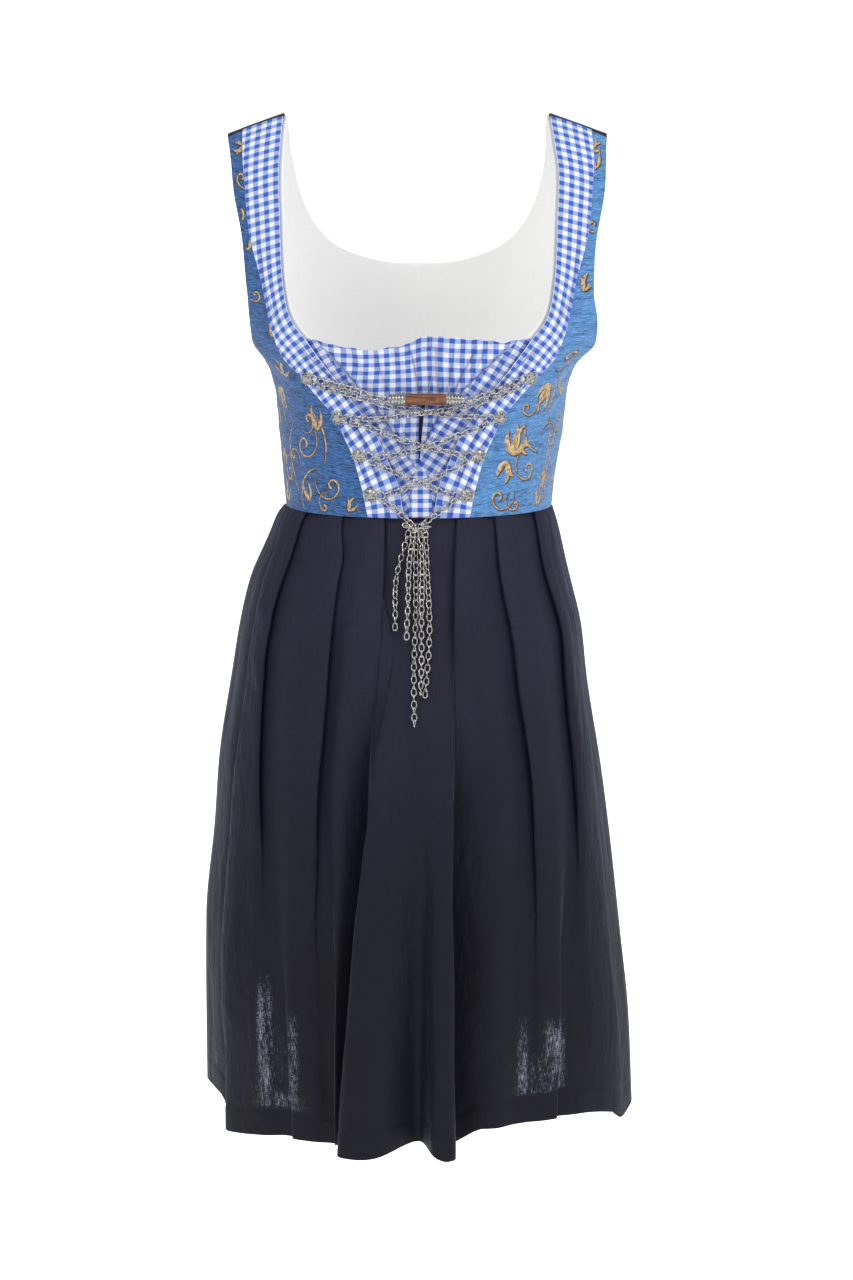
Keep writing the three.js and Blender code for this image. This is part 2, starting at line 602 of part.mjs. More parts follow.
// Half of the skirt between the side seams, with a turned hem that is thicker on the inside
function skirtGeometry(face) {
  const rows = skirtDrops.map((drop) => {
    const halves = face === 'front'
      ? [frontHalfRing(drop, 'left'), frontHalfRing(drop, 'right')]
      : [backHalfRing(drop), backHalfRing(drop)];
    const mirrored = halves[0].slice(1).reverse().map(({ angle, lift, shift }) => (
      { angle: -angle, lift, shift: -shift }));
    const ring = [...mirrored, ...halves[1]];
    const path = ring.map(({ angle, lift, shift }) => (
      skirtPoint(drop, angle, lift + waistLift(drop), shift, face)));
    const outward = face === 'front' ? 1 : -1;
    const outer = besidePath(path, (outward * skirtWall) / 2);
    const inside = skirtWall / 2 + (drop > skirtLength - hemDepth ? hemExtra : 0);
    const inner = besidePath(path, -outward * inside);
    return ring.map(({ angle }, i) => {
      const hemZ = face === 'front' ? lookUp(frontHem, 'angle', 'z', angle) : backHemZ;
      const z = mix(waistZ - seamGap / 2, hemZ, drop / skirtLength);
      const clear = (y) => outward * Math.min(outward * y, -seamGap / 2);
      return {
        outer: new THREE.Vector3(outer[i].x, clear(outer[i].y), z),
        inner: new THREE.Vector3(inner[i].x, clear(inner[i].y), z),
      };
    });
  });
  return wallGeometry([rows]);
}

// Point at a lift above the body form on the front
function frontPoint([x, z, lift]) {
  const angle = angleAt(x, Math.max(z, waistZ));
  const point = bodyPoint(angle, Math.max(z, waistZ), 'front');
  point.z = z;
  return point.addScaledVector(bodyNormal(angle, Math.max(z, waistZ), 'front').setZ(0).normalize(), lift);
}

function circle(radius, sides, turned = 0) {
  const angles = steps(0, 2 * Math.PI, sides).slice(0, -1);
  return new THREE.Shape(angles.map((a) => new THREE.Vector2(radius * Math.cos(a + turned), radius * Math.sin(a + turned))));
}

// Tube along a curve through points
function tubeGeometry(points, radius, sides, spacing) {
  const curve = new THREE.CatmullRomCurve3(points, false, 'centripetal');
  const count = Math.max(3, Math.round(curve.getLength() / spacing));
  return new THREE.ExtrudeGeometry(circle(radius, sides, Math.PI / sides), { steps: count, extrudePath: curve });
}

// A scalloped plate with its lacing ring, lying on the band
function hookGeometry(side, { plateX, ringX, z }) {
  const outline = steps(0, 2 * Math.PI, 3 * hookPlate.scallops).slice(0, -1).map((a) => {
    const radius = hookPlate.radius + hookPlate.scallop * Math.cos(hookPlate.scallops * a);
    return new THREE.Vector2(radius * Math.cos(a), radius * Math.sin(a));
  });
  const slab = (shape, depth) => new THREE.ExtrudeGeometry(shape, { depth, bevelEnabled: false });
  const ringShift = -side * (plateX - ringX);
  const plate = slab(new THREE.Shape(outline), hookPlate.thickness);
  const ring = slab(circle(hookRing.outer, 12), hookPlate.thickness).translate(ringShift, 0, 0);
  const eye = slab(circle(hookRing.inner, 10), 3 * hookPlate.thickness)
    .translate(ringShift, 0, -hookPlate.thickness);
  const geometry = geometryOf(solidOf(plate).add(solidOf(ring)).subtract(solidOf(eye)));
  const bandPoint = (x, height) => layerPoint(side * angleAt(x, height), height, 'front', layers.band).outer;
  const reach = hookPlate.radius;
  const middle = bandPoint(plateX, z);
  const across = bandPoint(plateX + reach, z).sub(bandPoint(ringX - reach / 2, z)).multiplyScalar(side).normalize();
  const up = bandPoint(plateX, z + reach).sub(bandPoint(plateX, z - reach));
  const normal = across.clone().cross(up).normalize();
  const around = [-1, 0, 1].flatMap((rise) => (
    [plateX + reach, plateX, ringX, ringX - hookRing.outer].map((x) => bandPoint(x, z + rise * reach))));
  const highest = Math.max(...around.map((point) => point.sub(middle).dot(normal)));
  middle.addScaledVector(normal, highest + seatGap);
  const basis = new THREE.Matrix4().makeBasis(across, normal.clone().cross(across), normal);
  return geometry.applyMatrix4(basis.setPosition(middle));
}

// A metal cap with coil ridges, from the bar's end along X
function capGeometry(side) {
  const ridges = steps(0, cap.length, 2 * cap.coils).map((along, i) => new THREE.Vector2(
    mix(cap.innerRadius, cap.outerRadius, along / cap.length) - (i % 2 ? 0 : cap.ridge), along));
  const profile = [new THREE.Vector2(0, 0), ...ridges, new THREE.Vector2(0, cap.length)];
  const geometry = new THREE.LatheGeometry(profile, 10).rotateZ((-side * Math.PI) / 2);
  return geometry.translate(side * (bar.length / 2 + seamGap), 0, 0);
}

// Height of the middle of the skirt's front above the form, for what hangs before it
function beforeSkirt(z, clearance) {
  const drop = Math.max(0, waistZ - z);
  const lift = lookUp(middlePanel.lift, 'drop', 'middle', drop) + waistLift(drop) + skirtWall / 2;
  return -(lookUp(skirtForm, 'drop', 'front', drop) + lift + clearance);
}

// The chain ends: a short head with loose strands, fused at their roots
function tasselGeometry() {
  const headY = frontPoint([tasselHead.x, waistZ, tasselHead.lift]).y;
  const head = new THREE.CylinderGeometry(tasselHead.radius, tasselHead.radius, 2 * tasselHead.halfLength, 10)
    .rotateZ(Math.PI / 2).translate(tasselHead.x, headY, tasselHead.z);
  const solids = strands.map(({ topX, swing, bottomX, bottomZ, forward }) => {
    const points = steps(0, 1, 7).map((t) => {
      const z = mix(tasselHead.z, bottomZ, t);
      const x = mix(topX, bottomX, t) + swing * Math.sin(Math.PI * t);
      const hang = beforeSkirt(z, 1.6 + strandRadius) - forward;
      return new THREE.Vector3(x, mix(headY, hang, smooth(t, 0, 0.2)), z);
    });
    return solidOf(tubeGeometry(points, strandRadius, 4, 16));
  });
  return geometryOf(solids.reduce((sum, next) => sum.add(next), solidOf(head)));
}

const finishes = {
  brocade: { color: 0x3f7ab5, roughness: 0.9, metalness: 0 },
  gingham: { color: 0x7f9ad8, roughness: 0.85, metalness: 0 },
  lining: { color: 0xeeeae0, roughness: 0.9, metalness: 0 },
  navy: { color: 0x1c2030, roughness: 0.85, metalness: 0 },
  silver: { color: 0xb4b2ac, roughness: 0.35, metalness: 0.9 },
  horn: { color: 0x7a4520, roughness: 0.45, metalness: 0 },
};
const materials = Object.fromEntries(
  Object.entries(finishes).map(([name, finish]) => [name, new THREE.MeshStandardMaterial(finish)]),
);

const group = new THREE.Group();

function add(name, finish, geometry) {
  const mesh = new THREE.Mesh(facingOut(welded(geometry)), materials[finish]);
  mesh.name = name;
  group.add(mesh);
  return mesh;
}

for (const [name, side] of [['left', -1], ['right', 1]]) {
  add(`front_panel_${name}`, 'brocade', frontGeometry(side, layers.panel, panelShares));
  add(`collar_band_${name}`, 'gingham', frontGeometry(side, layers.band, bandShares));
  add(`lining_front_${name}`, 'lining', frontGeometry(side, layers.liningFront, liningShares));
  add(`insert_${name}`, 'gingham', insertGeometry(side));
  hooks.forEach((hook, i) => add(`hook_${name}_${i + 1}`, 'silver', hookGeometry(side, hook)));
  const holder = add(`cap_${name}`, 'silver', capGeometry(side));
  holder.position.copy(frontPoint([bar.x, bar.z, bar.lift]));
}

const stripHeights = steps(waistZ + seamGap / 2, -338, 4);
add('centre_strip', 'gingham', stripGeometry(stripHeights, () => -9, () => 13, layers.strip, 3));
const slitX = (z) => lookUp(closing, 'z', 'x', z);
const tapeHeights = steps(-350, -264, 6);
add('zip_tape', 'navy', stripGeometry(tapeHeights, (z) => slitX(z) - 8, (z) => slitX(z) + 8, layers.tape, 2));

add('back_bodice', 'navy', backGeometry(layers.back, 0));
add('lining_back', 'lining', backGeometry(layers.liningBack, -1.2));
add('skirt_front', 'navy', skirtGeometry('front'));
add('skirt_back', 'navy', skirtGeometry('back'));

chainRoutes.forEach((route, i) => {
  add(`chain_run_${i + 1}`, 'silver', tubeGeometry(route.map(frontPoint), chainRadius, 8, 12));
});
const barMesh = add('bar', 'horn', new THREE.CylinderGeometry(bar.radius, bar.radius, bar.length, 12)
  .rotateZ(Math.PI / 2));
barMesh.position.copy(frontPoint([bar.x, bar.z, bar.lift]));
add('chain_tassel', 'silver', tasselGeometry());

export default group;
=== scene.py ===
import math

import bpy
import numpy as np
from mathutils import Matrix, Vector


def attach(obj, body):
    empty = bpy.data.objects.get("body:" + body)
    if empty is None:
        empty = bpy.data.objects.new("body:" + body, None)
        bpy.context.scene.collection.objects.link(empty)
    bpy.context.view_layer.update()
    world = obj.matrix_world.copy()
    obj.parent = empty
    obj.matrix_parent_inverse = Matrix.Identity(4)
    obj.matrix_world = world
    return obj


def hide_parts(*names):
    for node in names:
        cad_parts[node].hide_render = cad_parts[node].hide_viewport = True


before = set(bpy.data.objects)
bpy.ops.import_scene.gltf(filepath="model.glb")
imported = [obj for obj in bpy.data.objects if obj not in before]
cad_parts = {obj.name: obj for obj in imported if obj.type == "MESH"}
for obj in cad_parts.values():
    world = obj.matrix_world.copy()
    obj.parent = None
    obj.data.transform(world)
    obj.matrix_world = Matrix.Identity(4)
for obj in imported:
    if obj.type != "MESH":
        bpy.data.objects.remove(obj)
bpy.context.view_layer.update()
print("frame loaded")

# Lengths below are millimetres in the frame of the part: front towards -Y, the viewer's right
# towards +X, and the origin midway between the inner ends of the shoulder seams.
metre = 0.001
waistZ = -390
neckCornerZ = -217
strapInnerX = 130
strapSlope = 0.36
seamGap = 0.3
skirtLength = 630
skirtWall = 1.2
hemDepth = 27

# Radius at which an angle round the body is measured as millimetres of cloth
clothRound = 140

# The two sides by name, with their sign along X
sides = [("left", -1), ("right", 1)]

# Half width and depths of the body form by height
bodyForm = {
    "z": [-390, -345, -300, -254, -217, -176, -126, -75, 0],
    "halfWidth": [132, 136, 140, 148, 172, 185, 195, 200, 204],
    "front": [93, 99.5, 110.5, 122, 122, 122, 122, 122, 122],
    "back": [88, 89, 92, 98, 102, 102, 102, 102, 102],
}

# Edges of one front by row, from the shoulder seam to the waist: the neckline, the outer edge of the
# band, and the armhole followed by the side seam
frontRows = {
    "row": [0, 1, 2, 3, 4, 5, 5.5, 6, 7, 8, 9, 10, 11, 12],
    "neckX": [130, 132, 133, 131, 129, 124, 117, 106, 85, 64, 38, 27.5, 18, 14],
    "neckZ": [0, -27, -58, -104, -149, -186, -203, -217, -245, -271, -310, -336, -362, -390],
    "bandX": [170, 169, 166, 161, 149, 140, 135, 127.5, 106, 82, 62, 55, 51, 48],
    "bandZ": [-14, -38, -68, -113, -160, -203, -220, -236, -260, -286, -329, -354, -374, -390],
    "sideX": [185, 181, 177, 168, 163, 159, 149.5, 150, 150, 150, 150, 150, 150, 150],
    "sideZ": [-20, -44, -76, -122, -172, -222, -244, -254, -284, -310, -340, -362, -377, -390],
}
cornerRow = 6
waistRow = 12

# Edges of one half of the back by row: its neckline and then its middle, its armhole and side seam
backRows = {
    "row": [0, 1, 2, 3, 4, 5, 5.5, 6, 7, 8, 9, 10],
    "neckX": [130, 128, 122, 110, 86, 48, 26, 0, 0, 0, 0, 0],
    "neckZ": [0, -30, -70, -105, -135, -151, -155, -156, -210, -265, -325, -390],
    "sideX": [185, 180, 172, 165, 161, 159, 149.5, 150, 150, 150, 150, 150],
    "sideZ": [-20, -50, -90, -135, -175, -218, -243, -254, -284, -315, -350, -390],
}
backNeckRow = 6
backWaistRow = 10

# Powers by which the grid's rows crowd towards the shoulder
rowPower = {"front": 1.25, "back": 1.15}

# The wavy top edge of the insert, and where its two halves meet with half the slit between them
insertTop = {
    "x": [-125, -109, -74, -51, -19, 11, 31, 61, 81, 96, 125],
    "z": [-219, -218, -223, -226, -222, -212, -214, -217, -219, -218, -215],
}
closing = {
    "z": [-390, -346, -330, -285, -262, -246, -212],
    "x": [0, 0, 0.5, 3, 10, 13, 11],
    "halfSlit": [0.15, 0.15, 0.8, 2.2, 0.15, 0.15, 0.15],
}

# Outline of the skirt by its drop below the waist seam, and the height of its front hem by angle
skirtForm = {
    "drop": [0, 2.5, 30, 77, 125, 175, 272, 340, 446, 536, 630],
    "left": [128.4, 133, 147, 167.5, 178.5, 186.5, 201, 206, 216, 217, 217],
    "right": [129.3, 130.2, 139, 151, 162, 167.5, 183, 192, 204, 213.5, 218],
    "front": [93, 94, 106, 117, 125, 131, 140, 144, 148, 150, 150],
    "back": [87.6, 91, 106, 122, 133, 141, 148, 150, 153, 155, 155],
}
frontHem = {
    "angle": [-90, -72, -63, -60, -35, -15, 0, 7, 17, 45, 66, 78, 90],
    "z": [-985, -988, -1017, -1016, -1007, -1009, -1000, -1010, -991, -988, -1000, -1016, -1010],
}
backHem = {
    "angle": [-90, -66, -45, -20, 20, 50, 72, 90],
    "z": [-985, -992, -1012, -1020, -1020, -1018, -1008, -1008],
}


# Value of a column of a table, smooth through its rows and without overshoot: a cubic between rows
# whose slope at a row is the harmonic mean of the slopes on its two sides
def lookUp(table, key, column, at):
    keys = np.asarray(table[key], float)
    values = np.asarray(table[column], float)
    at = np.clip(np.asarray(at, float), keys[0], keys[-1])
    width = np.diff(keys)
    slope = np.diff(values) / width
    before, after = slope[:-1], slope[1:]
    both = np.where(before * after > 0, before + after, 1)
    inner = np.where(before * after > 0, 2 * before * after / both, 0)
    tangent = np.concatenate([slope[:1], inner, slope[-1:]])
    i = np.clip(np.searchsorted(keys, at, side="right") - 1, 0, len(width) - 1)
    t = (at - keys[i]) / width[i]
    rise = values[i + 1] - values[i]
    start, end = tangent[i] * width[i], tangent[i + 1] * width[i]
    return values[i] + t * start + t * t * (3 * rise - 2 * start - end) + t**3 * (start + end - 2 * rise)


# Smooth step from 0 at low to 1 at high
def smooth(value, low, high):
    t = np.clip((np.asarray(value, float) - low) / (high - low), 0, 1)
    return t * t * (3 - 2 * t)


def mix(a, b, t):
    return a + (b - a) * t


def unit(vectors):
    return vectors / np.maximum(np.linalg.norm(vectors, axis=-1, keepdims=True), 1e-9)


# Height of the shoulder seam at a distance from the middle
def shoulderZ(x):
    return -strapSlope * np.maximum(0, np.abs(x) - strapInnerX)


# Angle round the body from the middle of the front for a width at a height
def angleAt(x, z):
    return np.arcsin(np.clip(x / lookUp(bodyForm, "z", "halfWidth", z), -1, 1))


# Point of the body form: an ellipse at each height, whose depth dies out over the shoulder
def bodyPoint(angle, z, face):
    angle, z = np.broadcast_arrays(np.asarray(angle, float), np.asarray(z, float))
    x = lookUp(bodyForm, "z", "halfWidth", z) * np.sin(angle)
    rise = np.clip((z - neckCornerZ) / (shoulderZ(x) - neckCornerZ), 0, 1)
    if face == "front":
        arch = (1 - rise**1.5) ** 0.7
    else:
        arch = (1 + 0.12 * rise) * (1 - rise**3.5) ** 0.6
    depth = lookUp(bodyForm, "z", face, z) * arch * np.cos(angle)
    return np.stack([x, -depth if face == "front" else depth, np.minimum(z, shoulderZ(x))], axis=-1)


# Outward direction of the body form, from small steps across and down
def bodyNormal(angle, z, face):
    angle, z = np.broadcast_arrays(np.asarray(angle, float), np.asarray(z, float))
    at = bodyPoint(angle, z, face)
    across = bodyPoint(angle + 0.002, z, face) - bodyPoint(angle - 0.002, z, face)
    up = at - bodyPoint(angle, z - 0.02, face)
    normal = unit(np.cross(across, up)) * (1 if face == "front" else -1)
    onSeam = at[..., 2] > shoulderZ(at[..., 0]) - 0.01
    seam = np.stack([np.sign(at[..., 0]) * strapSlope, 0 * z, 0 * z + 1], axis=-1)
    return np.where(onSeam[..., None], unit(seam), normal)


# How the bodice sits: it draws in at both sides below the armholes, its straps are a little shorter
# than cut, and the right one leans in at the top and spreads above its armhole
sitting = {"leftIn": 4.5, "leftBelow": (234, 262), "rightIn": 4.5, "rightBelow": (300, 385),
           "beyond": (95, 150), "strapLength": 0.956, "rightLean": 3.8}
rightSpread = {
    "z": [-262, -247, -225, -205, -172, -122, -76, -44, 0],
    "x": [0, 3, 10, 11, 5, 5, 2, 0, 0],
}
frontRowsByZ = {"z": frontRows["bandZ"][::-1], "bandX": frontRows["bandX"][::-1]}


def seated(point):
    x, z = point[..., 0].copy(), point[..., 2].copy()
    leftIn = sitting["leftIn"] * smooth(-z, *sitting["leftBelow"])
    rightIn = sitting["rightIn"] * smooth(-z, *sitting["rightBelow"])
    drawnIn = np.where(x < 0, leftIn, rightIn)
    x = x - np.sign(x) * drawnIn * smooth(np.abs(x), *sitting["beyond"])
    bandX = lookUp(frontRowsByZ, "z", "bandX", z)
    outwards = np.clip((x - bandX) / (lookUp(bodyForm, "z", "halfWidth", z) - bandX), 0, 1)
    x = x + lookUp(rightSpread, "z", "x", z) * smooth(outwards, 0, 0.8)
    x = x - np.where(x > 0, sitting["rightLean"] * smooth(z, -60, 0), 0)
    above = np.maximum(z - neckCornerZ, 0)
    point[..., 0] = x
    point[..., 2] = z - above * (1 - sitting["strapLength"])
    return point


# Point at a lift above the body form, half a seam gap clear of the plane of the side seams
def layerPoint(angle, z, face, lift):
    normal = bodyNormal(angle, z, face)
    point = bodyPoint(angle, z, face) + normal * np.asarray(lift, float)[..., None]
    point[..., 1] += -seamGap / 2 if face == "front" else seamGap / 2
    point[..., 2] = np.maximum(point[..., 2], waistZ + seamGap / 2)
    return seated(point)


# Point at a horizontal distance in front of the body form
def frontPoint(places):
    places = np.asarray(places, float)
    angle = angleAt(places[:, 0], np.maximum(places[:, 1], waistZ))
    height = np.maximum(places[:, 1], waistZ)
    point = bodyPoint(angle, height, "front")
    normal = bodyNormal(angle, height, "front")
    normal[:, 2] = 0
    point = point + unit(normal) * places[:, 2:3]
    point[:, 2] = places[:, 1]
    return point


# Angle and height on a front: share 0 is the neckline, 1 the band's outer edge, 2 the side
def frontPlace(row, share):
    row, share = np.broadcast_arrays(np.asarray(row, float), np.asarray(share, float))
    edges = []
    for edge in ("neck", "band", "side"):
        z = lookUp(frontRows, "row", edge + "Z", row)
        edges.append((angleAt(lookUp(frontRows, "row", edge + "X", row), z), z))
    inner = np.minimum(share, 1)
    outer = np.maximum(share - 1, 0)
    place = [mix(mix(edges[0][i], edges[1][i], inner), edges[2][i], outer) for i in (0, 1)]
    angle = place[0]
    z = np.where(row <= 0, 0, np.maximum(place[1], waistZ + seamGap / 2))
    return angle, z


# Distance along a line from its first point to each of its points
def lengthsAlong(line):
    return np.concatenate([[0], np.cumsum(np.linalg.norm(np.diff(line, axis=0), axis=1))])


# Signed distance from a bent line, positive on its right, and the share of the way along it
def alongLine(x, z, line):
    line = np.asarray(line, float)
    starts = lengthsAlong(line)
    best = np.full(np.shape(x), 1e9)
    share = np.zeros(np.shape(x))
    for i, length in enumerate(np.linalg.norm(np.diff(line, axis=0), axis=1)):
        direction = (line[i + 1] - line[i]) / length
        fromStart = np.stack([x - line[i, 0], z - line[i, 1]], axis=-1)
        along = np.clip(fromStart @ direction, 0, length)
        distance = np.linalg.norm(fromStart - along[..., None] * direction, axis=-1)
        side = np.sign(fromStart[..., 0] * direction[1] - fromStart[..., 1] * direction[0])
        closer = distance < np.abs(best)
        best = np.where(closer, distance * np.where(side == 0, 1, side), best)
        share = np.where(closer, (starts[i] + along) / starts[-1], share)
    return best, share


# A soft trough or ridge along a line, which dies out at both its ends
def crease(x, z, line, width, height):
    distance, share = alongLine(x, z, line)
    ends = smooth(share, 0, 0.25) * smooth(1 - share, 0, 0.25)
    return height * np.exp(-((distance / width) ** 2)) * ends


# A relief with creases added, each a row of line, width and height
def creased(relief, x, z, folds):
    return sum((crease(x, z, *fold) for fold in folds), relief)


# The lip of a fold: the cloth steps up on the right of the line and falls back over a reach
def lip(x, z, line, height, reach):
    distance, share = alongLine(x, z, line)
    ends = smooth(share, 0, 0.12) * smooth(1 - share, 0, 0.12)
    return height * smooth(distance, -0.5, 0.5) * np.exp(-np.maximum(distance, 0) / reach) * ends


# Gentle unevenness: a few waves across each other
def uneven(a, b, size, height, start=0.0):
    waves = np.sin(a / size + start) * np.cos(b / (1.3 * size) + 1.7 * start)
    waves = waves + 0.6 * np.sin((0.6 * a + b) / (0.55 * size) + 2.1 + start)
    return height * waves / 1.6


# Places of the close steps at the edge of a cloth as shares of its margin, and how full it is there
edgeStyle = {"steps": [0, 0.2, 0.55, 1], "full": [0.3, 0.72, 0.93]}


# Shares from 0 to 1 with three close steps at either end, and how full the cloth is at each
def edged(count, margin):
    rim = margin * np.array(edgeStyle["steps"])
    shares = np.concatenate([rim, np.linspace(margin, 1 - margin, count)[1:-1], 1 - rim[::-1]])
    full = np.ones(len(shares))
    full[:3] = edgeStyle["full"]
    full[-3:] = edgeStyle["full"][::-1]
    return shares, full


# Fullness of a grid from the fullness of its rows and of its columns
def fullGrid(down, across):
    return np.minimum(down[:, None], across[None, :])


def material(name):
    return bpy.data.materials[name]


# Object from vertices in millimetres and faces, with uv in millimetres and named values per vertex
def build(name, points, faces, finish, uv=None, values=None):
    mesh = bpy.data.meshes.new(name)
    mesh.from_pydata([], [], [])
    points = np.asarray(points, np.float32).reshape(-1, 3) * metre
    faces = np.asarray(faces, np.int32)
    sides = faces.shape[1]
    mesh.vertices.add(len(points))
    mesh.vertices.foreach_set("co", points.ravel())
    mesh.loops.add(faces.size)
    mesh.loops.foreach_set("vertex_index", faces.ravel())
    mesh.polygons.add(len(faces))
    mesh.polygons.foreach_set("loop_start", np.arange(0, faces.size, sides, dtype=np.int32))
    mesh.polygons.foreach_set("use_smooth", np.ones(len(faces), bool))
    mesh.update(calc_edges=True)
    if uv is not None:
        layer = mesh.uv_layers.new(name="cloth")
        layer.data.foreach_set("uv", np.asarray(uv, np.float32).reshape(-1, 2)[faces.ravel()].ravel())
    for key, value in (values or {}).items():
        attribute = mesh.attributes.new(key, "FLOAT", "POINT")
        attribute.data.foreach_set("value", np.asarray(value, np.float32).ravel())
    mesh.materials.append(material(finish))
    piece = bpy.data.objects.new(name, mesh)
    bpy.context.scene.collection.objects.link(piece)
    return piece


# Quads between neighbouring rows and columns of a grid of vertices
def gridFaces(rows, columns):
    at = np.arange(rows * columns).reshape(rows, columns)
    corners = [at[:-1, :-1], at[:-1, 1:], at[1:, 1:], at[1:, :-1]]
    return np.stack(corners, axis=-1).reshape(-1, 4)


# Several sets of points and faces as one
def joined(parts):
    points, faces, first = [], [], 0
    for part, face in parts:
        points.append(part)
        faces.append(face + first)
        first += len(part)
    return np.concatenate(points), np.concatenate(faces)


# Outward directions of a grid of points, from its neighbours along rows and columns
def gridNormals(points):
    down = np.gradient(points, axis=0)
    across = np.gradient(points, axis=1)
    return unit(np.cross(across, down))


# A wall of cloth over a grid of points on its middle surface, closed all round. Fullness thins the
# wall towards its edges so that they are round. Outward is the side that the normal should face, and
# quads that are missing leave the wall open there, with a rim of its own.
def wall(name, points, thickness, finish, uv, full, values=None, outward=1, normals=None, missing=None):
    rows, columns = points.shape[:2]
    normals = gridNormals(points) if normals is None else normals
    half = outward * 0.5 * thickness * full[..., None] * normals
    vertices = np.concatenate([(points + half).reshape(-1, 3), (points - half).reshape(-1, 3)])
    outer = gridFaces(rows, columns)
    if missing is not None:
        outer = outer[~missing.ravel()]
    count = rows * columns
    edges = np.concatenate([outer[:, [i, (i + 1) % 4]] for i in range(4)])
    opposite = edges[:, 1] * count + edges[:, 0]
    open_ = edges[~np.isin(edges[:, 0] * count + edges[:, 1], opposite)]
    rim = np.stack([open_[:, 1], open_[:, 0], open_[:, 0] + count, open_[:, 1] + count], axis=-1)
    faces = np.concatenate([outer, outer[:, ::-1] + count, rim])
    faces = faces if outward > 0 else faces[:, ::-1]
    uvs = np.concatenate([uv.reshape(-1, 2)] * 2)
    both = {key: np.tile(np.asarray(value, float).ravel(), 2) for key, value in (values or {}).items()}
    return build(name, vertices, faces, finish, uvs, both)


def onPart(piece, slot, *nodes):
    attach(piece, "root")
    if nodes:
        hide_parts(*nodes)


# Gives a socket its value, or links it where the value is the socket of another node
def feed(tree, socket, value):
    if isinstance(value, bpy.types.NodeSocket):
        tree.links.new(value, socket)
    else:
        socket.default_value = value


# Makes a shader node with its options set and its inputs given or linked
def node(tree, kind, inputs=None, **options):
    made = tree.nodes.new("ShaderNode" + kind)
    for option, value in options.items():
        setattr(made, option, value)
    for name, value in (inputs or {}).items():
        feed(tree, made.inputs[name], value)
    return made


def calc(tree, operation, a, b=0.0, c=0.0):
    return node(tree, "Math", {0: a, 1: b, 2: c}, operation=operation).outputs[0]


# Noise from 0 to 1 at a place, whose axes are scaled first where a stretch is given
def noise(tree, vector, scale=1.0, detail=2.0, stretch=None, roughness=0.5):
    if stretch:
        vector = node(tree, "Mapping", {"Vector": vector, "Scale": stretch}).outputs[0]
    inputs = {"Vector": vector, "Scale": scale, "Detail": detail, "Roughness": roughness}
    return node(tree, "TexNoise", inputs).outputs[0]


def attribute(tree, name):
    return node(tree, "Attribute", attribute_name=name).outputs["Fac"]


# Value rescaled so that low becomes 0 and high becomes 1, with a soft shoulder at both
def ramp(tree, value, low, high, to=(0.0, 1.0)):
    inputs = {"Value": value, "From Min": low, "From Max": high, "To Min": to[0], "To Max": to[1]}
    return node(tree, "MapRange", inputs, interpolation_type="SMOOTHSTEP").outputs["Result"]


def blendColors(tree, share, first, second, kind="MIX"):
    made = node(tree, "Mix", data_type="RGBA", blend_type=kind)
    for socket, value in zip((made.inputs[0], made.inputs[6], made.inputs[7]), (share, first, second)):
        feed(tree, socket, value)
    return made.outputs[2]


# Blends by a share that is first weakened by an amount
def blendPartly(tree, share, amount, first, second):
    return blendColors(tree, calc(tree, "MULTIPLY", share, amount), first, second)


# Colour multiplied by a plain shade
def shaded(tree, color, shade):
    grey = node(tree, "CombineColor", {0: shade, 1: shade, 2: shade}).outputs[0]
    return blendColors(tree, 1.0, color, grey, "MULTIPLY")


# Colour given as screen values from 0 to 255, in linear light
def screen(red, green, blue):
    shares = [value / 255 for value in (red, green, blue)]
    return tuple(v / 12.92 if v <= 0.04045 else ((v + 0.055) / 1.055) ** 2.4 for v in shares) + (1.0,)


# Node group whose sockets are plain numbers, but for the one called Vector
def newGroup(name, inputs, outputs):
    group = bpy.data.node_groups.new(name, "ShaderNodeTree")
    for side, labels in (("INPUT", inputs), ("OUTPUT", outputs)):
        for label in labels:
            kind = "NodeSocketVector" if label == "Vector" else "NodeSocketFloat"
            group.interface.new_socket(name=label, in_out=side, socket_type=kind)
    return group, group.nodes.new("NodeGroupInput"), group.nodes.new("NodeGroupOutput")


def useGroup(tree, name, inputs):
    made = node(tree, "Group", node_tree=bpy.data.node_groups[name])
    for label, value in inputs.items():
        feed(tree, made.inputs[label], value)
    return made.outputs


# Plain weave: crossing threads as a height from 0 to 1 and a thread-by-thread shade
def makeWeaveGroup():
    group, start, end = newGroup("plainWeave", ["Vector", "Pitch"], ["Height", "Shade"])
    vector = start.outputs["Vector"]
    parts = node(group, "SeparateXYZ", {"Vector": vector}).outputs
    turns = calc(group, "DIVIDE", 2 * math.pi, start.outputs["Pitch"])
    across, along = (calc(group, "SINE", calc(group, "MULTIPLY", parts[axis], turns)) for axis in "XY")
    height = calc(group, "MULTIPLY_ADD", calc(group, "MULTIPLY", across, along), 0.5, 0.5)
    group.links.new(height, end.inputs["Height"])
    threads = [noise(group, vector, stretch=stretch) for stretch in ((1.9, 0.05, 1), (0.05, 1.9, 1))]
    group.links.new(calc(group, "MULTIPLY", calc(group, "ADD", *threads), 0.5), end.inputs["Shade"])


# Gingham: stripes both ways, full colour where two stripes cross and half colour where one runs
def makeCheckGroup():
    group, start, end = newGroup("checks", ["Vector", "PeriodX", "PeriodY"], ["Across", "Along"])
    vector = start.outputs["Vector"]
    parts = node(group, "SeparateXYZ", {"Vector": vector}).outputs
    for axis, label in (("X", "Across"), ("Y", "Along")):
        shifted = calc(group, "MULTIPLY_ADD", noise(group, vector, 0.35, 1.0), 0.7, parts[axis])
        place = calc(group, "FRACT", calc(group, "DIVIDE", shifted, start.outputs["Period" + axis]))
        fromMiddle = calc(group, "ABSOLUTE", calc(group, "SUBTRACT", place, 0.5))
        group.links.new(ramp(group, fromMiddle, 0.262, 0.226), end.inputs[label])


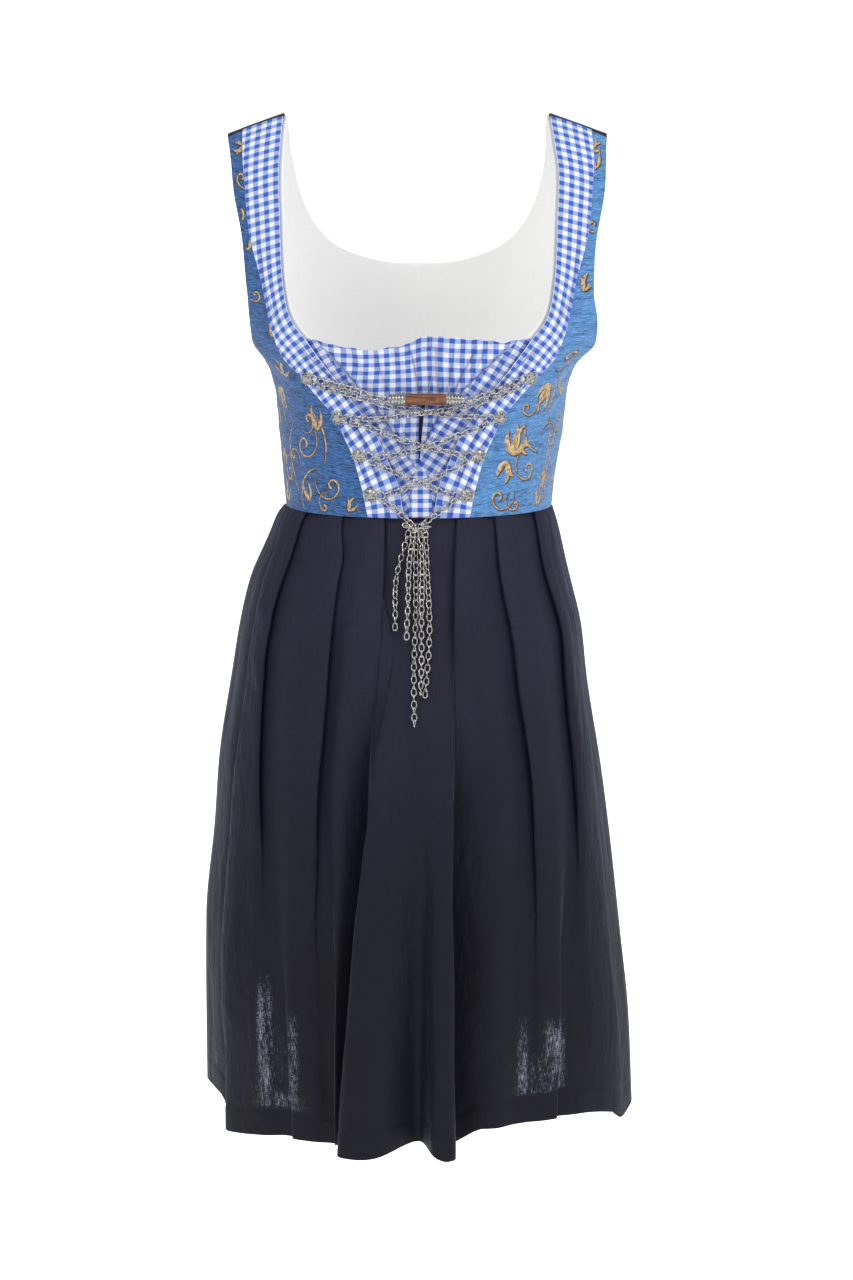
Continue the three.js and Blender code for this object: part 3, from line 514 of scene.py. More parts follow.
# Material with a Principled shader whose plain values are set directly: its nodes, and the inputs of
# the shader
def newMaterial(name, settings):
    made = bpy.data.materials.new(name)
    made.use_nodes = True
    tree = made.node_tree
    shader = tree.nodes["Principled BSDF"].inputs
    for label, value in settings.items():
        shader[label].default_value = value
    return tree, shader


def clothVector(tree):
    return node(tree, "UVMap", uv_map="cloth").outputs["UV"]


# Bumps a material by a height, on top of the bump that it has
def bump(tree, shader, height, strength, distance):
    made = node(tree, "Bump", {"Height": height, "Strength": strength, "Distance": distance})
    if shader["Normal"].links:
        tree.links.new(shader["Normal"].links[0].from_socket, made.inputs["Normal"])
    tree.links.new(made.outputs["Normal"], shader["Normal"])


gingham = {
    "white": screen(234, 235, 243),
    "half": screen(136, 162, 224),
    "blue": screen(48, 88, 186),
    # Dark blue of the painted shade in the folds
    "foldShade": screen(34, 46, 92),
    "edgeShare": 0.75,
    # Share of the painted shade in the folds
    "foldShadeShare": 0.8,
    "periodX": 10.6,
    "periodY": 8.9,
    "pitch": 0.9,
}


def makeGingham():
    tree, shader = newMaterial(
        "ginghamCloth", {"Roughness": 0.82, "Sheen Weight": 0.12, "Sheen Roughness": 0.5})
    vector = clothVector(tree)
    periods = {"PeriodX": gingham["periodX"], "PeriodY": gingham["periodY"]}
    stripes = useGroup(tree, "checks", {"Vector": vector, **periods})
    weave = useGroup(tree, "plainWeave", {"Vector": vector, "Pitch": gingham["pitch"]})
    one = calc(tree, "MAXIMUM", stripes["Across"], stripes["Along"])
    two = calc(tree, "MULTIPLY", stripes["Across"], stripes["Along"])
    halfShade = ramp(tree, weave["Height"], 0.1, 0.9, to=(0.8, 1.0))
    color = blendPartly(tree, one, halfShade, gingham["white"], gingham["half"])
    color = blendColors(tree, two, color, gingham["blue"])
    color = shaded(tree, color, ramp(tree, weave["Shade"], 0.3, 0.7, to=(0.9, 1.06)))
    color = blendPartly(tree, attribute(tree, "edge"), gingham["edgeShare"], color, gingham["white"])
    # Painted shade in the folds of the band and the insert, where the shade attribute marks it
    color = blendPartly(tree, attribute(tree, "shade"), gingham["foldShadeShare"], color, gingham["foldShade"])
    feed(tree, shader["Base Color"], color)
    bump(tree, shader, weave["Height"], 0.25, 0.0002)


# Colours of the one brocade on each front: the left front's are painted darker as shade, the right
# front's lighter as light
brocade = {
    "left": {"base": screen(28, 82, 148), "dark": screen(9, 38, 84), "light": screen(104, 158, 212)},
    "right": {"base": screen(70, 132, 196), "dark": screen(36, 90, 150), "light": screen(146, 194, 232)},
}


# Slubby blue cloth: long uneven streaks across it, short pale flecks and fine ribs, in the colours of
# its front, painted darker on the left as shade and lighter on the right as light
def makeBrocade(side):
    colors = brocade[side]
    tree, shader = newMaterial(
        "brocade_" + side, {"Roughness": 0.9, "Sheen Weight": 0.3, "Sheen Roughness": 0.45})
    tilt = (0, 0, 0.1 if side == "left" else -0.1)
    bent = node(tree, "Mapping", {"Vector": clothVector(tree), "Rotation": tilt}).outputs[0]
    broad, fine, fleck = (
        noise(tree, bent, scale, detail, (1 / stretch, 1, 1), 0.6)
        for scale, stretch, detail in ((0.2, 6.0, 3.0), (1.05, 9.0, 4.0), (1.2, 4.5, 2.0)))
    color = blendColors(tree, ramp(tree, broad, 0.3, 0.62), colors["dark"], colors["base"])
    color = blendPartly(tree, ramp(tree, fine, 0.42, 0.7), 0.6, color, colors["light"])
    color = blendPartly(tree, ramp(tree, fleck, 0.56, 0.7), 0.5, color, colors["light"])
    color = blendPartly(tree, ramp(tree, fleck, 0.4, 0.27), 0.6, color, colors["dark"])
    feed(tree, shader["Base Color"], color)
    waves = {"Vector": bent, "Scale": 0.32, "Distortion": 1.6, "Detail": 2.0, "Detail Scale": 1.2}
    ribs = node(tree, "TexWave", waves, bands_direction="Y").outputs["Fac"]
    height = calc(tree, "MULTIPLY_ADD", fine, 1.4, calc(tree, "MULTIPLY", ribs, 0.4))
    bump(tree, shader, height, 0.7, 0.0006)


# Raised thread: short satin stitches across a line, with a shade that changes from strand to strand
def makeThread(name, light, dark, metallic):
    tree, shader = newMaterial(name, {"Roughness": 0.5, "Metallic": metallic, "Sheen Weight": 0.2})
    vector = clothVector(tree)
    patches = calc(tree, "MULTIPLY", noise(tree, vector, 0.22), 0.5)
    share = calc(tree, "MULTIPLY_ADD", noise(tree, vector, 1.3, 3.0), 0.6, patches)
    feed(tree, shader["Base Color"], blendColors(tree, ramp(tree, share, 0.44, 0.66), dark, light))
    waves = {"Vector": vector, "Scale": 0.42, "Distortion": 1.2}
    stitches = node(tree, "TexWave", waves, bands_direction="X").outputs["Fac"]
    bump(tree, shader, stitches, 0.6, 0.0004)


navyShine = {
    "Roughness": 0.62,
    "Sheen Weight": 0.14,
    "Sheen Roughness": 0.36,
    "Sheen Tint": (0.62, 0.72, 1.0, 1.0),
    "Specular IOR Level": 0.2,
}
# Colour of the painted sheen along the edges of the side pleats
skirtSheen = screen(58, 68, 92)


# Painted light that shows through where the cloth is thin: lighter specks in dashes along its threads
# both ways, in upright streaks
def withSpecks(tree, vector, color, specks):
    upright, level = (noise(tree, vector, stretch=scale) for scale in ((1.15, 0.13, 1), (0.22, 1.1, 1)))
    grain = calc(tree, "MAXIMUM", upright, calc(tree, "SUBTRACT", level, 0.05))
    streaks = ramp(tree, noise(tree, vector, stretch=(0.16, 0.018, 1)), 0.32, 0.6, to=(0.42, 1.0))
    amount = calc(tree, "MULTIPLY", attribute(tree, "lightThrough"), streaks)
    spot = ramp(tree, calc(tree, "MULTIPLY_ADD", amount, 0.15, grain), 0.56, 0.82)
    return blendPartly(tree, spot, calc(tree, "MULTIPLY", amount, 0.85), color, specks)


# Plain dark cotton with soft wrinkles. Where it has specks, one attribute marks where painted light
# shows through the thin cloth, the sheen attribute where a painted sheen lies along a pleat's edge, and
# painted shade darkens it downwards.
def makeNavy(name, base, specks, wrinkles):
    tree, shader = newMaterial(name, navyShine)
    vector = clothVector(tree)
    weave = useGroup(tree, "plainWeave", {"Vector": vector, "Pitch": 0.7})
    shade = ramp(tree, weave["Shade"], 0.3, 0.7, to=(0.8, 1.2))
    cloud = ramp(tree, noise(tree, vector, 0.012), 0.3, 0.7, to=(0.92, 1.1))
    shade = calc(tree, "MULTIPLY", shade, cloud)
    if specks:
        # Painted shade: lighter at the top and darker downwards, as light falls from above
        down = node(tree, "SeparateXYZ", {"Vector": vector}).outputs["Y"]
        shade = calc(tree, "MULTIPLY", shade, ramp(tree, down, 30.0, 480.0, to=(1.1, 0.36)))
    color = shaded(tree, base, shade)
    if specks:
        # Painted light showing through the thin cloth
        color = withSpecks(tree, vector, color, specks)
        # Painted sheen along the side pleats' edges, in patches
        patchy = ramp(tree, noise(tree, vector, 1.0, 3.0, (0.35, 0.07, 1)), 0.42, 0.7)
        color = blendPartly(tree, attribute(tree, "sheen"), patchy, color, skirtSheen)
    feed(tree, shader["Base Color"], color)
    bump(tree, shader, noise(tree, vector, 1.0, 4.0, (0.04, 0.017, 1), 0.55), 1.0, wrinkles)
    bump(tree, shader, weave["Height"], 0.18, 0.00012)


def makeLining():
    tree, shader = newMaterial("liningCloth", {"Roughness": 0.85, "Sheen Weight": 0.15})
    weave = useGroup(tree, "plainWeave", {"Vector": clothVector(tree), "Pitch": 0.6})
    shade = ramp(tree, weave["Shade"], 0.3, 0.7, to=(0.0, 1.0))
    color = blendColors(tree, shade, screen(245, 244, 241), screen(251, 251, 250))
    feed(tree, shader["Base Color"], color)
    bump(tree, shader, weave["Height"], 0.15, 0.00015)


# Plated metal: bright on its wires, tarnished in patches
def makeSilver(name, bright, tarnish, share, roughness):
    tree, shader = newMaterial(name, {"Metallic": 1.0})
    grain = noise(tree, node(tree, "TexCoord").outputs["Object"], 420.0, 3.0)
    color = blendPartly(tree, ramp(tree, grain, 0.5, 0.72), share, bright, tarnish)
    feed(tree, shader["Base Color"], color)
    feed(tree, shader["Roughness"], ramp(tree, grain, 0.3, 0.7, to=(roughness, roughness + 0.16)))
    bump(tree, shader, grain, 0.1, 0.0002)


# Brown wood or horn with lengthwise grain and scuffs
def makeHorn():
    tree, shader = newMaterial("hornGrain", {"Coat Weight": 0.25, "Coat Roughness": 0.3})
    place = node(tree, "TexCoord").outputs["Object"]
    grain = noise(tree, place, 1.0, 4.0, (60, 700, 700))
    scuffs = ramp(tree, noise(tree, place, 140.0, 3.0), 0.55, 0.72, to=(0.0, 0.6))
    color = blendColors(tree, ramp(tree, grain, 0.35, 0.68), screen(78, 42, 22), screen(142, 84, 44))
    feed(tree, shader["Base Color"], blendColors(tree, scuffs, color, screen(170, 116, 68)))
    feed(tree, shader["Roughness"], ramp(tree, grain, 0.3, 0.7, to=(0.3, 0.5)))
    bump(tree, shader, grain, 0.3, 0.0003)


# The studio floor, and how strongly it glows as a light and as the camera sees it
stageStyle = {"floorZ": -1450, "radius": 60000, "rings": 24, "sides": 96, "glow": 0.56, "seenGlow": 1.3,
              "dim": (0.86, 0.86, 0.87, 1), "pale": (0.88, 0.88, 0.885, 1)}


# Value for what the camera sees and another for every other ray
def seenOr(tree, seen, other):
    isSeen = node(tree, "LightPath").outputs["Is Camera Ray"]
    return calc(tree, "MULTIPLY_ADD", isSeen, seen - other, other)


def makeStage():
    tree, shader = newMaterial("studio", {"Roughness": 0.95, "Specular IOR Level": 0.1})
    clouds = ramp(tree, noise(tree, node(tree, "TexCoord").outputs["Object"], 1.5), 0.3, 0.7)
    color = blendColors(tree, clouds, stageStyle["dim"], stageStyle["pale"])
    feed(tree, shader["Base Color"], color)
    feed(tree, shader["Emission Color"], color)
    feed(tree, shader["Emission Strength"], seenOr(tree, stageStyle["seenGlow"], stageStyle["glow"]))


makeWeaveGroup()
makeCheckGroup()
makeGingham()
for name in brocade:
    makeBrocade(name)
makeThread("goldThread", screen(240, 212, 160), screen(138, 92, 46), 0.1)
# Dark outline thread, set beside the gold as partly a painted shadow
makeThread("darkThreadAndShadow", screen(70, 54, 38), screen(28, 26, 30), 0.0)
makeNavy("navyBodice", screen(34, 34, 52), None, 0.0015)
# The skirt's pale specks are painted light showing through its thin cloth
makeNavy("navySkirt", screen(30, 30, 47), screen(158, 160, 180), 0.003)
makeLining()
makeSilver("brightSilver", (0.54, 0.52, 0.49, 1), (0.09, 0.085, 0.08, 1), 0.85, 0.13)
makeSilver("oldSilver", (0.5, 0.49, 0.46, 1), (0.06, 0.06, 0.055, 1), 0.9, 0.19)
makeHorn()
makeStage()
print("materials made")

bandStyle = {"lift": 4.4, "thickness": 1.2, "rows": 250, "columns": 34, "spread": 0.88}
panelStyle = {"lift": 2.5, "thickness": 2.0, "rows": 170, "columns": 78}
liningStyle = {"lift": -0.8, "thickness": 1.0, "rows": 70, "columns": 34}

# Lacing hooks, from the top: the middle of the pierced plate and of the ring beside it
hookPlaces = [(104.5, 94.5, -255), (75, 64.5, -291), (56, 45.5, -328), (45, 35, -367)]

# Lines on the gingham band with their widths and heights, for the left front: the fold that runs
# inside its edge above the hooks, and the puckers between the hooks. Then the puffs between the hooks:
# x, z, width and height.
bandFolds = [
    ([(-118, -214), (-104, -232), (-86, -250), (-70, -268), (-57, -284)], 1.7, -1.3),
    ([(-150, -120), (-146, -160), (-138, -190), (-126, -214)], 1.4, -0.6),
    ([(-96, -246), (-92, -262), (-88, -272)], 2.4, -0.9),
    ([(-66, -284), (-52, -312), (-44, -326)], 1.8, -1.1),
    ([(-72, -300), (-60, -318), (-54, -324)], 2.2, -0.8),
    ([(-46, -334), (-38, -350), (-36, -360)], 1.7, -1.0),
    ([(-56, -338), (-48, -352), (-44, -362)], 2.0, -0.8),
    ([(-34, -374), (-30, -384), (-30, -389)], 1.6, -0.8),
]
bandPuffs = [
    (-90, -276, 13, 1.1),
    (-66, -311, 13, 1.4),
    (-52, -349, 12, 1.3),
    (-40, -384, 9, 0.8),
]


# Where a place on a front lies in the tables of the left one. The right front mirrors them, and each
# fold of it is shifted by its own amount.
def mirrored(x, side, reach, phase):
    return -np.abs(x) + (0 if side < 0 else reach * math.sin(phase))


# Relief of the band: its folds and the puffs between the hooks, with other strengths at the right
def bandRelief(x, z, side):
    relief = np.zeros(np.shape(x))
    for i, (line, width, height) in enumerate(bandFolds):
        strength = 1 if side < 0 else (0.75 if i % 2 else 1.1)
        relief = relief + strength * crease(mirrored(x, side, 2.5, 3.1 * i), z, line, width, height)
    for puffX, puffZ, width, height in bandPuffs:
        away = np.hypot(np.abs(x) + puffX, z - puffZ) / width
        relief = relief + height * np.exp(-(away**2))
    return relief + uneven(x, z, 9, 0.12, side)


# Shade in the folds of the band, a narrow line along each
def bandShade(x, z, side):
    shade = np.zeros(np.shape(x))
    for i, (line, _, height) in enumerate(bandFolds):
        dark = crease(mirrored(x, side, 2.5, 3.1 * i), z, line, 1.2, 0.75 * abs(height))
        shade = np.maximum(shade, np.minimum(dark, 0.7))
    return shade


# Distance in millimetres along and across a grid of points, as the cloth's own coordinates
def clothLengths(points):
    along = lengthsAlong(points[:, points.shape[1] // 2])
    across = np.cumsum(np.linalg.norm(np.diff(points, axis=1), axis=2), axis=1)
    across = np.concatenate([np.zeros((len(points), 1)), across], axis=1)
    return np.stack([across, np.broadcast_to(along[:, None], across.shape)], axis=-1)


# Cloth coordinates by the angle round the body and the height
def clothPlace(angle, z):
    return np.stack([clothRound * angle, z + 0 * angle], axis=-1)


# Rows from the shoulder to the waist, closer together over the shoulder
def frontRowSteps(count, first):
    share, full = edged(count, 0.004)
    return mix(first, waistRow, share ** rowPower["front"]), full


# Grid over a front from one share across to another: its angles, widths, heights and fullness
def frontGrid(style, side, low, high, margin, first=0.12):
    rows, fullDown = frontRowSteps(style["rows"], first)
    shares, fullAcross = edged(style["columns"], margin)
    angle, z = frontPlace(rows[:, None], mix(low, high, shares)[None, :])
    x = bodyPoint(side * angle, z, "front")[..., 0]
    return side * angle, x, z, fullGrid(fullDown, fullAcross)


# 1 along the edges of a piece and 0 inside, from its fullness
def edgeMask(full):
    return np.clip((0.9 - full) / 0.6, 0, 1)


# Low down, where the band was cut askew, its checks spread
def makeBand(name, side):
    angle, x, z, full = frontGrid(bandStyle, side, 0, 1, 0.035)
    points = layerPoint(angle, z, "front", bandStyle["lift"] + bandRelief(x, z, side))
    cloth = clothLengths(points)
    spread = mix(1, bandStyle["spread"], smooth(-z[:, z.shape[1] // 2], 250, 320))[:, None]
    along = np.cumsum(np.diff(cloth[:, :1, 1], axis=0, prepend=0) * spread, axis=0)
    uv = np.stack([cloth[..., 0] * spread, along + 0 * x], axis=-1) + 2.0
    piece = wall("collarBand" + name.title(), points, bandStyle["thickness"], "ginghamCloth", uv, full,
                 {"edge": edgeMask(full), "shade": bandShade(x, z, side)}, outward=-side)
    onPart(piece, "gingham", "collar_band_" + name)


# Folds of the brocade fronts with their widths and heights, drawn for the left one: the soft ridges
# that run from the armhole to the top hook, drags at the waist, and the pull under the bust
panelFolds = [
    ([(-160, -214), (-146, -238), (-132, -250), (-112, -268)], 3.4, 1.6),
    ([(-158, -226), (-148, -248), (-138, -262), (-126, -276)], 3.0, -1.4),
    ([(-149, -262), (-140, -280), (-126, -300), (-108, -316)], 4.5, -1.0),
    ([(-146, -300), (-130, -318), (-108, -330), (-84, -336)], 5.0, 0.9),
    ([(-142, -345), (-118, -352), (-90, -352), (-62, -348)], 4.0, -0.8),
    ([(-138, -372), (-112, -374), (-84, -378), (-60, -376)], 3.4, 0.7),
    ([(-172, -120), (-166, -150), (-160, -178), (-158, -205)], 2.6, 0.7),
]


def panelRelief(x, z, side):
    relief = uneven(x, z, 17, 0.35, 0.4 * side)
    for i, (line, width, height) in enumerate(panelFolds):
        strength = 1 if side < 0 else (0.8 if i % 2 else 1.15)
        shift = 0 if side < 0 else 3 * math.sin(2.3 * i + 1)
        relief = relief + strength * crease(-np.abs(x) + shift, z + shift, line, width, height)
    nearBand = np.abs(x) < lookUp(frontRowsByZ, "z", "bandX", z) + 3
    return np.where(nearBand, np.minimum(relief, 0.3), relief)


# How far the cloth sinks towards its seams and edges at the side
def seamDip(angle):
    return -0.7 * smooth(np.abs(angle), math.pi / 2 - 0.09, math.pi / 2)


def makePanel(name, side):
    angle, x, z, full = frontGrid(panelStyle, side, 0.06, 2, 0.006)
    relief = panelRelief(x, z, side) + seamDip(angle)
    points = layerPoint(angle, z, "front", panelStyle["lift"] + relief)
    piece = wall("frontPanel" + name.title(), points, panelStyle["thickness"], "brocade_" + name,
                 clothPlace(angle, z), full, outward=-side)
    onPart(piece, "brocade", "front_panel_" + name)


def makeFrontLining(name, side):
    angle, x, z, full = frontGrid(liningStyle, side, -0.05, 2, 0.01, first=0.0)
    points = layerPoint(angle, z, "front", liningStyle["lift"] + uneven(x, z, 14, 0.12, 2.0))
    piece = wall("liningFront" + name.title(), points, liningStyle["thickness"], "liningCloth",
                 clothPlace(angle, z), full, outward=-side)
    onPart(piece, "lining", "lining_front_" + name)


# Cross section of a ribbon of thread in half widths, and how high it is there. The dark one is a dark
# outline that partly stands as a painted shadow: it is wider and lower, and lies a little beside the
# gold one.
ribbonStyle = {"across": [-1, -0.55, 0, 0.55, 1], "rise": [0.0, 0.8, 1.0, 0.8, 0.0], "sunk": 0.12,
               "gold": 0.5, "dark": 0.3, "wider": 1.05, "besideX": 0.7, "besideZ": -0.6}


# Ribbon of raised thread on a front, along a line in cloth coordinates: millimetres round the body
# from its middle, and height
def ribbon(line, widths, lift, side, uvStart):
    line = np.asarray(line, float)
    direction = unit(np.gradient(line, axis=0))
    beside = np.stack([-direction[:, 1], direction[:, 0]], axis=-1)
    across, rise = np.array(ribbonStyle["across"]), np.array(ribbonStyle["rise"])
    places = line[:, None] + beside[:, None] * (across[None, :] * widths[:, None])[..., None]
    angle, z = places[..., 0] / clothRound, np.maximum(places[..., 1], waistZ + 1)
    x = bodyPoint(angle, z, "front")[..., 0]
    surface = panelStyle["lift"] + panelStyle["thickness"] / 2 + panelRelief(x, z, side) + seamDip(angle)
    points = layerPoint(angle, z, "front", surface - ribbonStyle["sunk"] + lift * rise[None, :])
    along = uvStart + lengthsAlong(line)
    uv = np.stack([np.broadcast_to(along[:, None], z.shape), across * widths[:, None]], axis=-1)
    return points, uv


# Scroll: a spiral that winds in from its tail, as places round its middle
def scrollLine(s, z, size, turns, start, hand, tail):
    t = np.linspace(0, 1, int(40 * turns) + 20)
    angle = start + hand * 2 * math.pi * turns * t
    radius = size * (1 - 0.86 * t) * (1 + tail * (1 - smooth(t, 0, 0.35)))
    return np.stack([s + radius * np.cos(angle), z + radius * np.sin(angle)], axis=-1)


# Curved stroke from one place to another, bowed to its right by a share of its length
def strokeLine(a, b, bow):
    a, b = np.asarray(a, float), np.asarray(b, float)
    t = np.linspace(0, 1, 36)[:, None]
    beside = np.array([b[1] - a[1], a[0] - b[0]])
    return mix(a, b, t) + beside * bow * 4 * t * (1 - t)


# Generic motifs of the brocade for each front, with places in cloth coordinates. Scrolls: s, z, size,
# turns, start, hand, tail, width. Leaves, in sprays: s, z, length, turn, fan, count, width. Strokes:
# from, to, bow, width.
motifs = {
    "left": {
        "scrolls": [
            (-128, -322, 15, 1.35, 1.2, -1, 0.7, 1.3),
            (-92, -361, 13, 1.3, 2.6, 1, 0.9, 1.2),
            (-168, -352, 13, 1.4, 0.4, 1, 0.6, 1.3),
            (-196, -300, 12, 1.3, 3.4, -1, 0.7, 1.2),
            (-164, -286, 9, 1.2, 5.2, -1, 1.0, 1.2),
            (-138, -176, 8, 1.2, 2.2, 1, 0.9, 1.1),
            (-141, -62, 9, 1.2, 0.2, -1, 1.0, 1.2),
            (-118, -296, 8, 1.2, 3.8, 1, 1.1, 1.2),
            (-152, -334, 8, 1.2, 5.4, 1, 1.0, 1.1),
            (-104, -382, 7, 1.1, 1.0, 1, 1.2, 1.2),
        ],
        "leaves": [
            (-106, -306, 25, 100, 26, 3, 2.0),
            (-150, -254, 17, 70, 34, 4, 2.0),
            (-126, -378, 24, 118, 24, 3, 1.8),
            (-74, -384, 15, 60, 30, 3, 1.7),
            (-186, -382, 26, 80, 26, 4, 2.0),
            (-138, -132, 20, 96, 30, 2, 2.2),
            (-132, -214, 13, 40, 36, 3, 1.9),
            (-142, -92, 14, 250, 30, 2, 1.8),
            (-136, -32, 16, 190, 26, 3, 2.0),
            (-170, -268, 22, 262, 24, 4, 2.4),
            (-184, -330, 18, 300, 30, 3, 2.2),
        ],
        "strokes": [
            ((-150, -300), (-146, -372), 0.16, 0.9),
            ((-118, -282), (-100, -340), -0.18, 0.8),
            ((-182, -318), (-206, -380), 0.2, 0.9),
            ((-112, -344), (-140, -386), 0.22, 1.0),
        ],
    },
    "right": {
        "scrolls": [
            (122, -346, 13, 1.35, 1.9, 1, 0.8, 1.3),
            (84, -372, 11, 1.25, 0.3, -1, 0.9, 1.2),
            (160, -318, 12, 1.3, 2.9, -1, 0.8, 1.3),
            (190, -362, 13, 1.4, 0.9, 1, 0.6, 1.3),
            (150, -236, 8, 1.2, 4.2, 1, 0.9, 1.1),
            (139, -108, 9, 1.2, 1.2, -1, 0.9, 1.2),
            (112, -284, 8, 1.2, 0.6, -1, 1.1, 1.2),
            (176, -300, 8, 1.2, 3.6, 1, 1.0, 1.2),
            (106, -380, 7, 1.1, 2.2, 1, 1.2, 1.2),
        ],
        "leaves": [
            (142, -262, 32, 246, 15, 5, 2.3),
            (98, -330, 34, 74, 20, 4, 3.4),
            (92, -336, 22, 268, 34, 3, 3.2),
            (108, -322, 16, 352, 30, 3, 2.4),
            (160, -352, 20, 230, 28, 3, 2.2),
            (172, -276, 20, 110, 28, 3, 2.0),
            (146, -384, 20, 96, 28, 3, 1.8),
            (206, -310, 22, 80, 26, 3, 2.0),
            (137, -172, 18, 84, 30, 3, 2.0),
            (141, -52, 22, 120, 32, 4, 2.2),
            (137, -33, 13, 20, 30, 3, 2.0),
        ],
        "strokes": [
            ((152, -296), (140, -384), -0.12, 0.9),
            ((176, -330), (170, -386), 0.2, 0.8),
            ((112, -300), (136, -330), 0.2, 0.9),
            ((148, -252), (146, -290), -0.2, 0.8),
        ],
    },
}


# Lines and half widths of all the motifs of one front
def motifLines(name):
    found = []
    for *shape, width in motifs[name]["scrolls"]:
        line = scrollLine(*shape)
        t = np.linspace(0, 1, len(line))
        swelling = width * (0.35 + 0.65 * smooth(t, 0, 0.5) + 0.5 * smooth(t, 0.8, 1))
        found.append((line, swelling * np.minimum(1, 12 * np.minimum(t, 1.02 - t))))
    for s, z, length, middleTurn, fan, count, width in motifs[name]["leaves"]:
        for i in range(count):
            fromMiddle = i - (count - 1) / 2
            angle = math.radians(middleTurn + fan * fromMiddle)
            reach = length * (1 - 0.16 * abs(fromMiddle))
            tip = (s + reach * math.cos(angle), z + reach * math.sin(angle))
            line = strokeLine((s, z), tip, 0.14 * (-1) ** i)
            t = np.linspace(0, 1, len(line))
            found.append((line, width * (0.12 + np.sin(math.pi * t**0.8) ** 0.8)))
    for start, end, bow, width in motifs[name]["strokes"]:
        line = strokeLine(start, end, bow)
        t = np.linspace(0, 1, len(line))
        found.append((line, width * (0.3 + np.sin(math.pi * t))))
    return found


# Whether each place of a line lies on the visible brocade of a front
def onPanel(line):
    z = line[:, 1]
    x = np.abs(bodyPoint(line[:, 0] / clothRound, z, "front")[:, 0])
    bandEdge = lookUp(frontRowsByZ, "z", "bandX", z)
    armhole = lookUp({"z": frontRows["sideZ"][::-1], "x": frontRows["sideX"][::-1]}, "z", "x", z)
    onCloth = (x > bandEdge + 0.5) & (z > waistZ + 2) & (z < -3)
    inArmhole = (z > -250) & (x > armhole - 3.5)
    return onCloth & ~inArmhole & (np.abs(line[:, 0]) < clothRound * math.pi / 2 - 3)


# Gold thread of one front and its dark outline, which is partly a painted shadow, kept where the brocade
# shows
def makeMotifs(name, side):
    style = ribbonStyle
    pieces = {"goldThread": [], "darkThreadAndShadow": []}
    for i, (line, widths) in enumerate(motifLines(name)):
        changes = np.flatnonzero(np.diff(np.concatenate([[False], onPanel(line), [False]]).astype(int)))
        for first, last in zip(changes[::2], changes[1::2]):
            if last - first < 4:
                continue
            part, width = line[first:last], widths[first:last]
            shade = part + np.array([style["besideX"] * side, style["besideZ"]])
            wider = width + style["wider"]
            pieces["darkThreadAndShadow"].append(ribbon(shade, wider, style["dark"], side, 7.3 * i))
            pieces["goldThread"].append(ribbon(part, width, style["gold"], side, 5.1 * i))
    for finish, parts in pieces.items():
        points, faces = joined([(grid.reshape(-1, 3), gridFaces(*grid.shape[:2])) for grid, _ in parts])
        uvs = np.concatenate([uv.reshape(-1, 2) for _, uv in parts])
        onPart(build(finish + name.title(), points, faces, finish, uvs), "brocade")


for name, side in sides:
    makePanel(name, side)
    makeBand(name, side)
    makeFrontLining(name, side)
    makeMotifs(name, side)
print("fronts made")

insertStyle = {"lift": 0.6, "thickness": 1.2, "rows": 120, "columns": 104, "covered": 0.12}
gatherPoint = {"z": -352, "left": 1.2, "right": 1.7}
gatherWaves = {"pitch": 24, "height": 1.5}

# How the insert's checks lie: their drift to the middle by height, their offset, how far the top rows
# follow the top edge, and the lean of the checks beyond the main fold in degrees
insertChecks = {"drift": 0.06, "middle": 8, "low": -212, "offset": 5, "follow": 0.7, "topMean": -217,
                "lean": 33}

# Fold edges of the gathered insert from its top towards the waist, with their height and reach. The
# first of each side is its main fold.
insertFolds = {
    "left": [
        ([(-94, -222), (-78, -240), (-61, -257), (-41, -281), (-31, -296), (-18, -316), (-2, -341)],
         2.6, 9),
        ([(-52, -284), (-38, -308), (-25, -330), (-16, -352)], 1.4, 6),
        ([(-72, -230), (-52, -250), (-38, -268)], 0.9, 6),
        ([(-20, -352), (-14, -370), (-12, -388)], 1.0, 5),
        ([(-91, -224), (-81, -241), (-70, -256), (-58, -268)], 1.3, 7),
        ([(-12, -216), (-5, -240), (-1, -267), (-2, -290)], 2.0, 8),
        ([(-46, -226), (-36, -250), (-24, -276), (-14, -300)], 1.4, 9),
    ],
    "right": [
        ([(2, -330), (7, -315), (18.5, -290), (43.5, -262), (68, -240), (95, -218)], 2.6, 9),
        ([(40, -270), (50, -252), (60, -234), (64, -220)], 1.0, 7),
        ([(62, -256), (80, -240), (100, -224)], 1.3, 6),
        ([(14, -352), (24, -328), (36, -304), (46, -286)], 1.3, 6),
        ([(20, -292), (32, -270), (42, -248), (51, -233), (56, -216)], 2.1, 8),
        ([(14, -290), (19, -265), (17, -240), (18, -212)], 1.7, 6),
        ([(12, -300), (24, -276), (30, -252), (35, -222)], 1.3, 7),
    ],
}


# Height of the gathers: waves that run together at the gather point and die out at both edges, and
# whose spread goes by a power of the share of the height
def gatherHeight(x, z, side):
    top = lookUp(insertTop, "x", "z", x)
    left = np.clip((z - gatherPoint["z"]) / (top - gatherPoint["z"]), 0.1, 1)
    fanX = x / left ** gatherPoint["left" if side < 0 else "right"]
    wave = 0.5 - 0.5 * np.cos(2 * math.pi * fanX / gatherWaves["pitch"])
    byHeight = {"z": frontRows["neckZ"][::-1], "x": frontRows["neckX"][::-1]}
    fromBand = lookUp(byHeight, "z", "x", z) - np.abs(x)
    fromSlit = np.abs(x - lookUp(closing, "z", "x", z))
    calm = smooth(fromBand, 2, 12) * smooth(fromSlit, 2, 12) * smooth(left, 0.1, 0.4)
    return gatherWaves["height"] * wave * calm


def foldsOf(side):
    return insertFolds["left" if side < 0 else "right"]


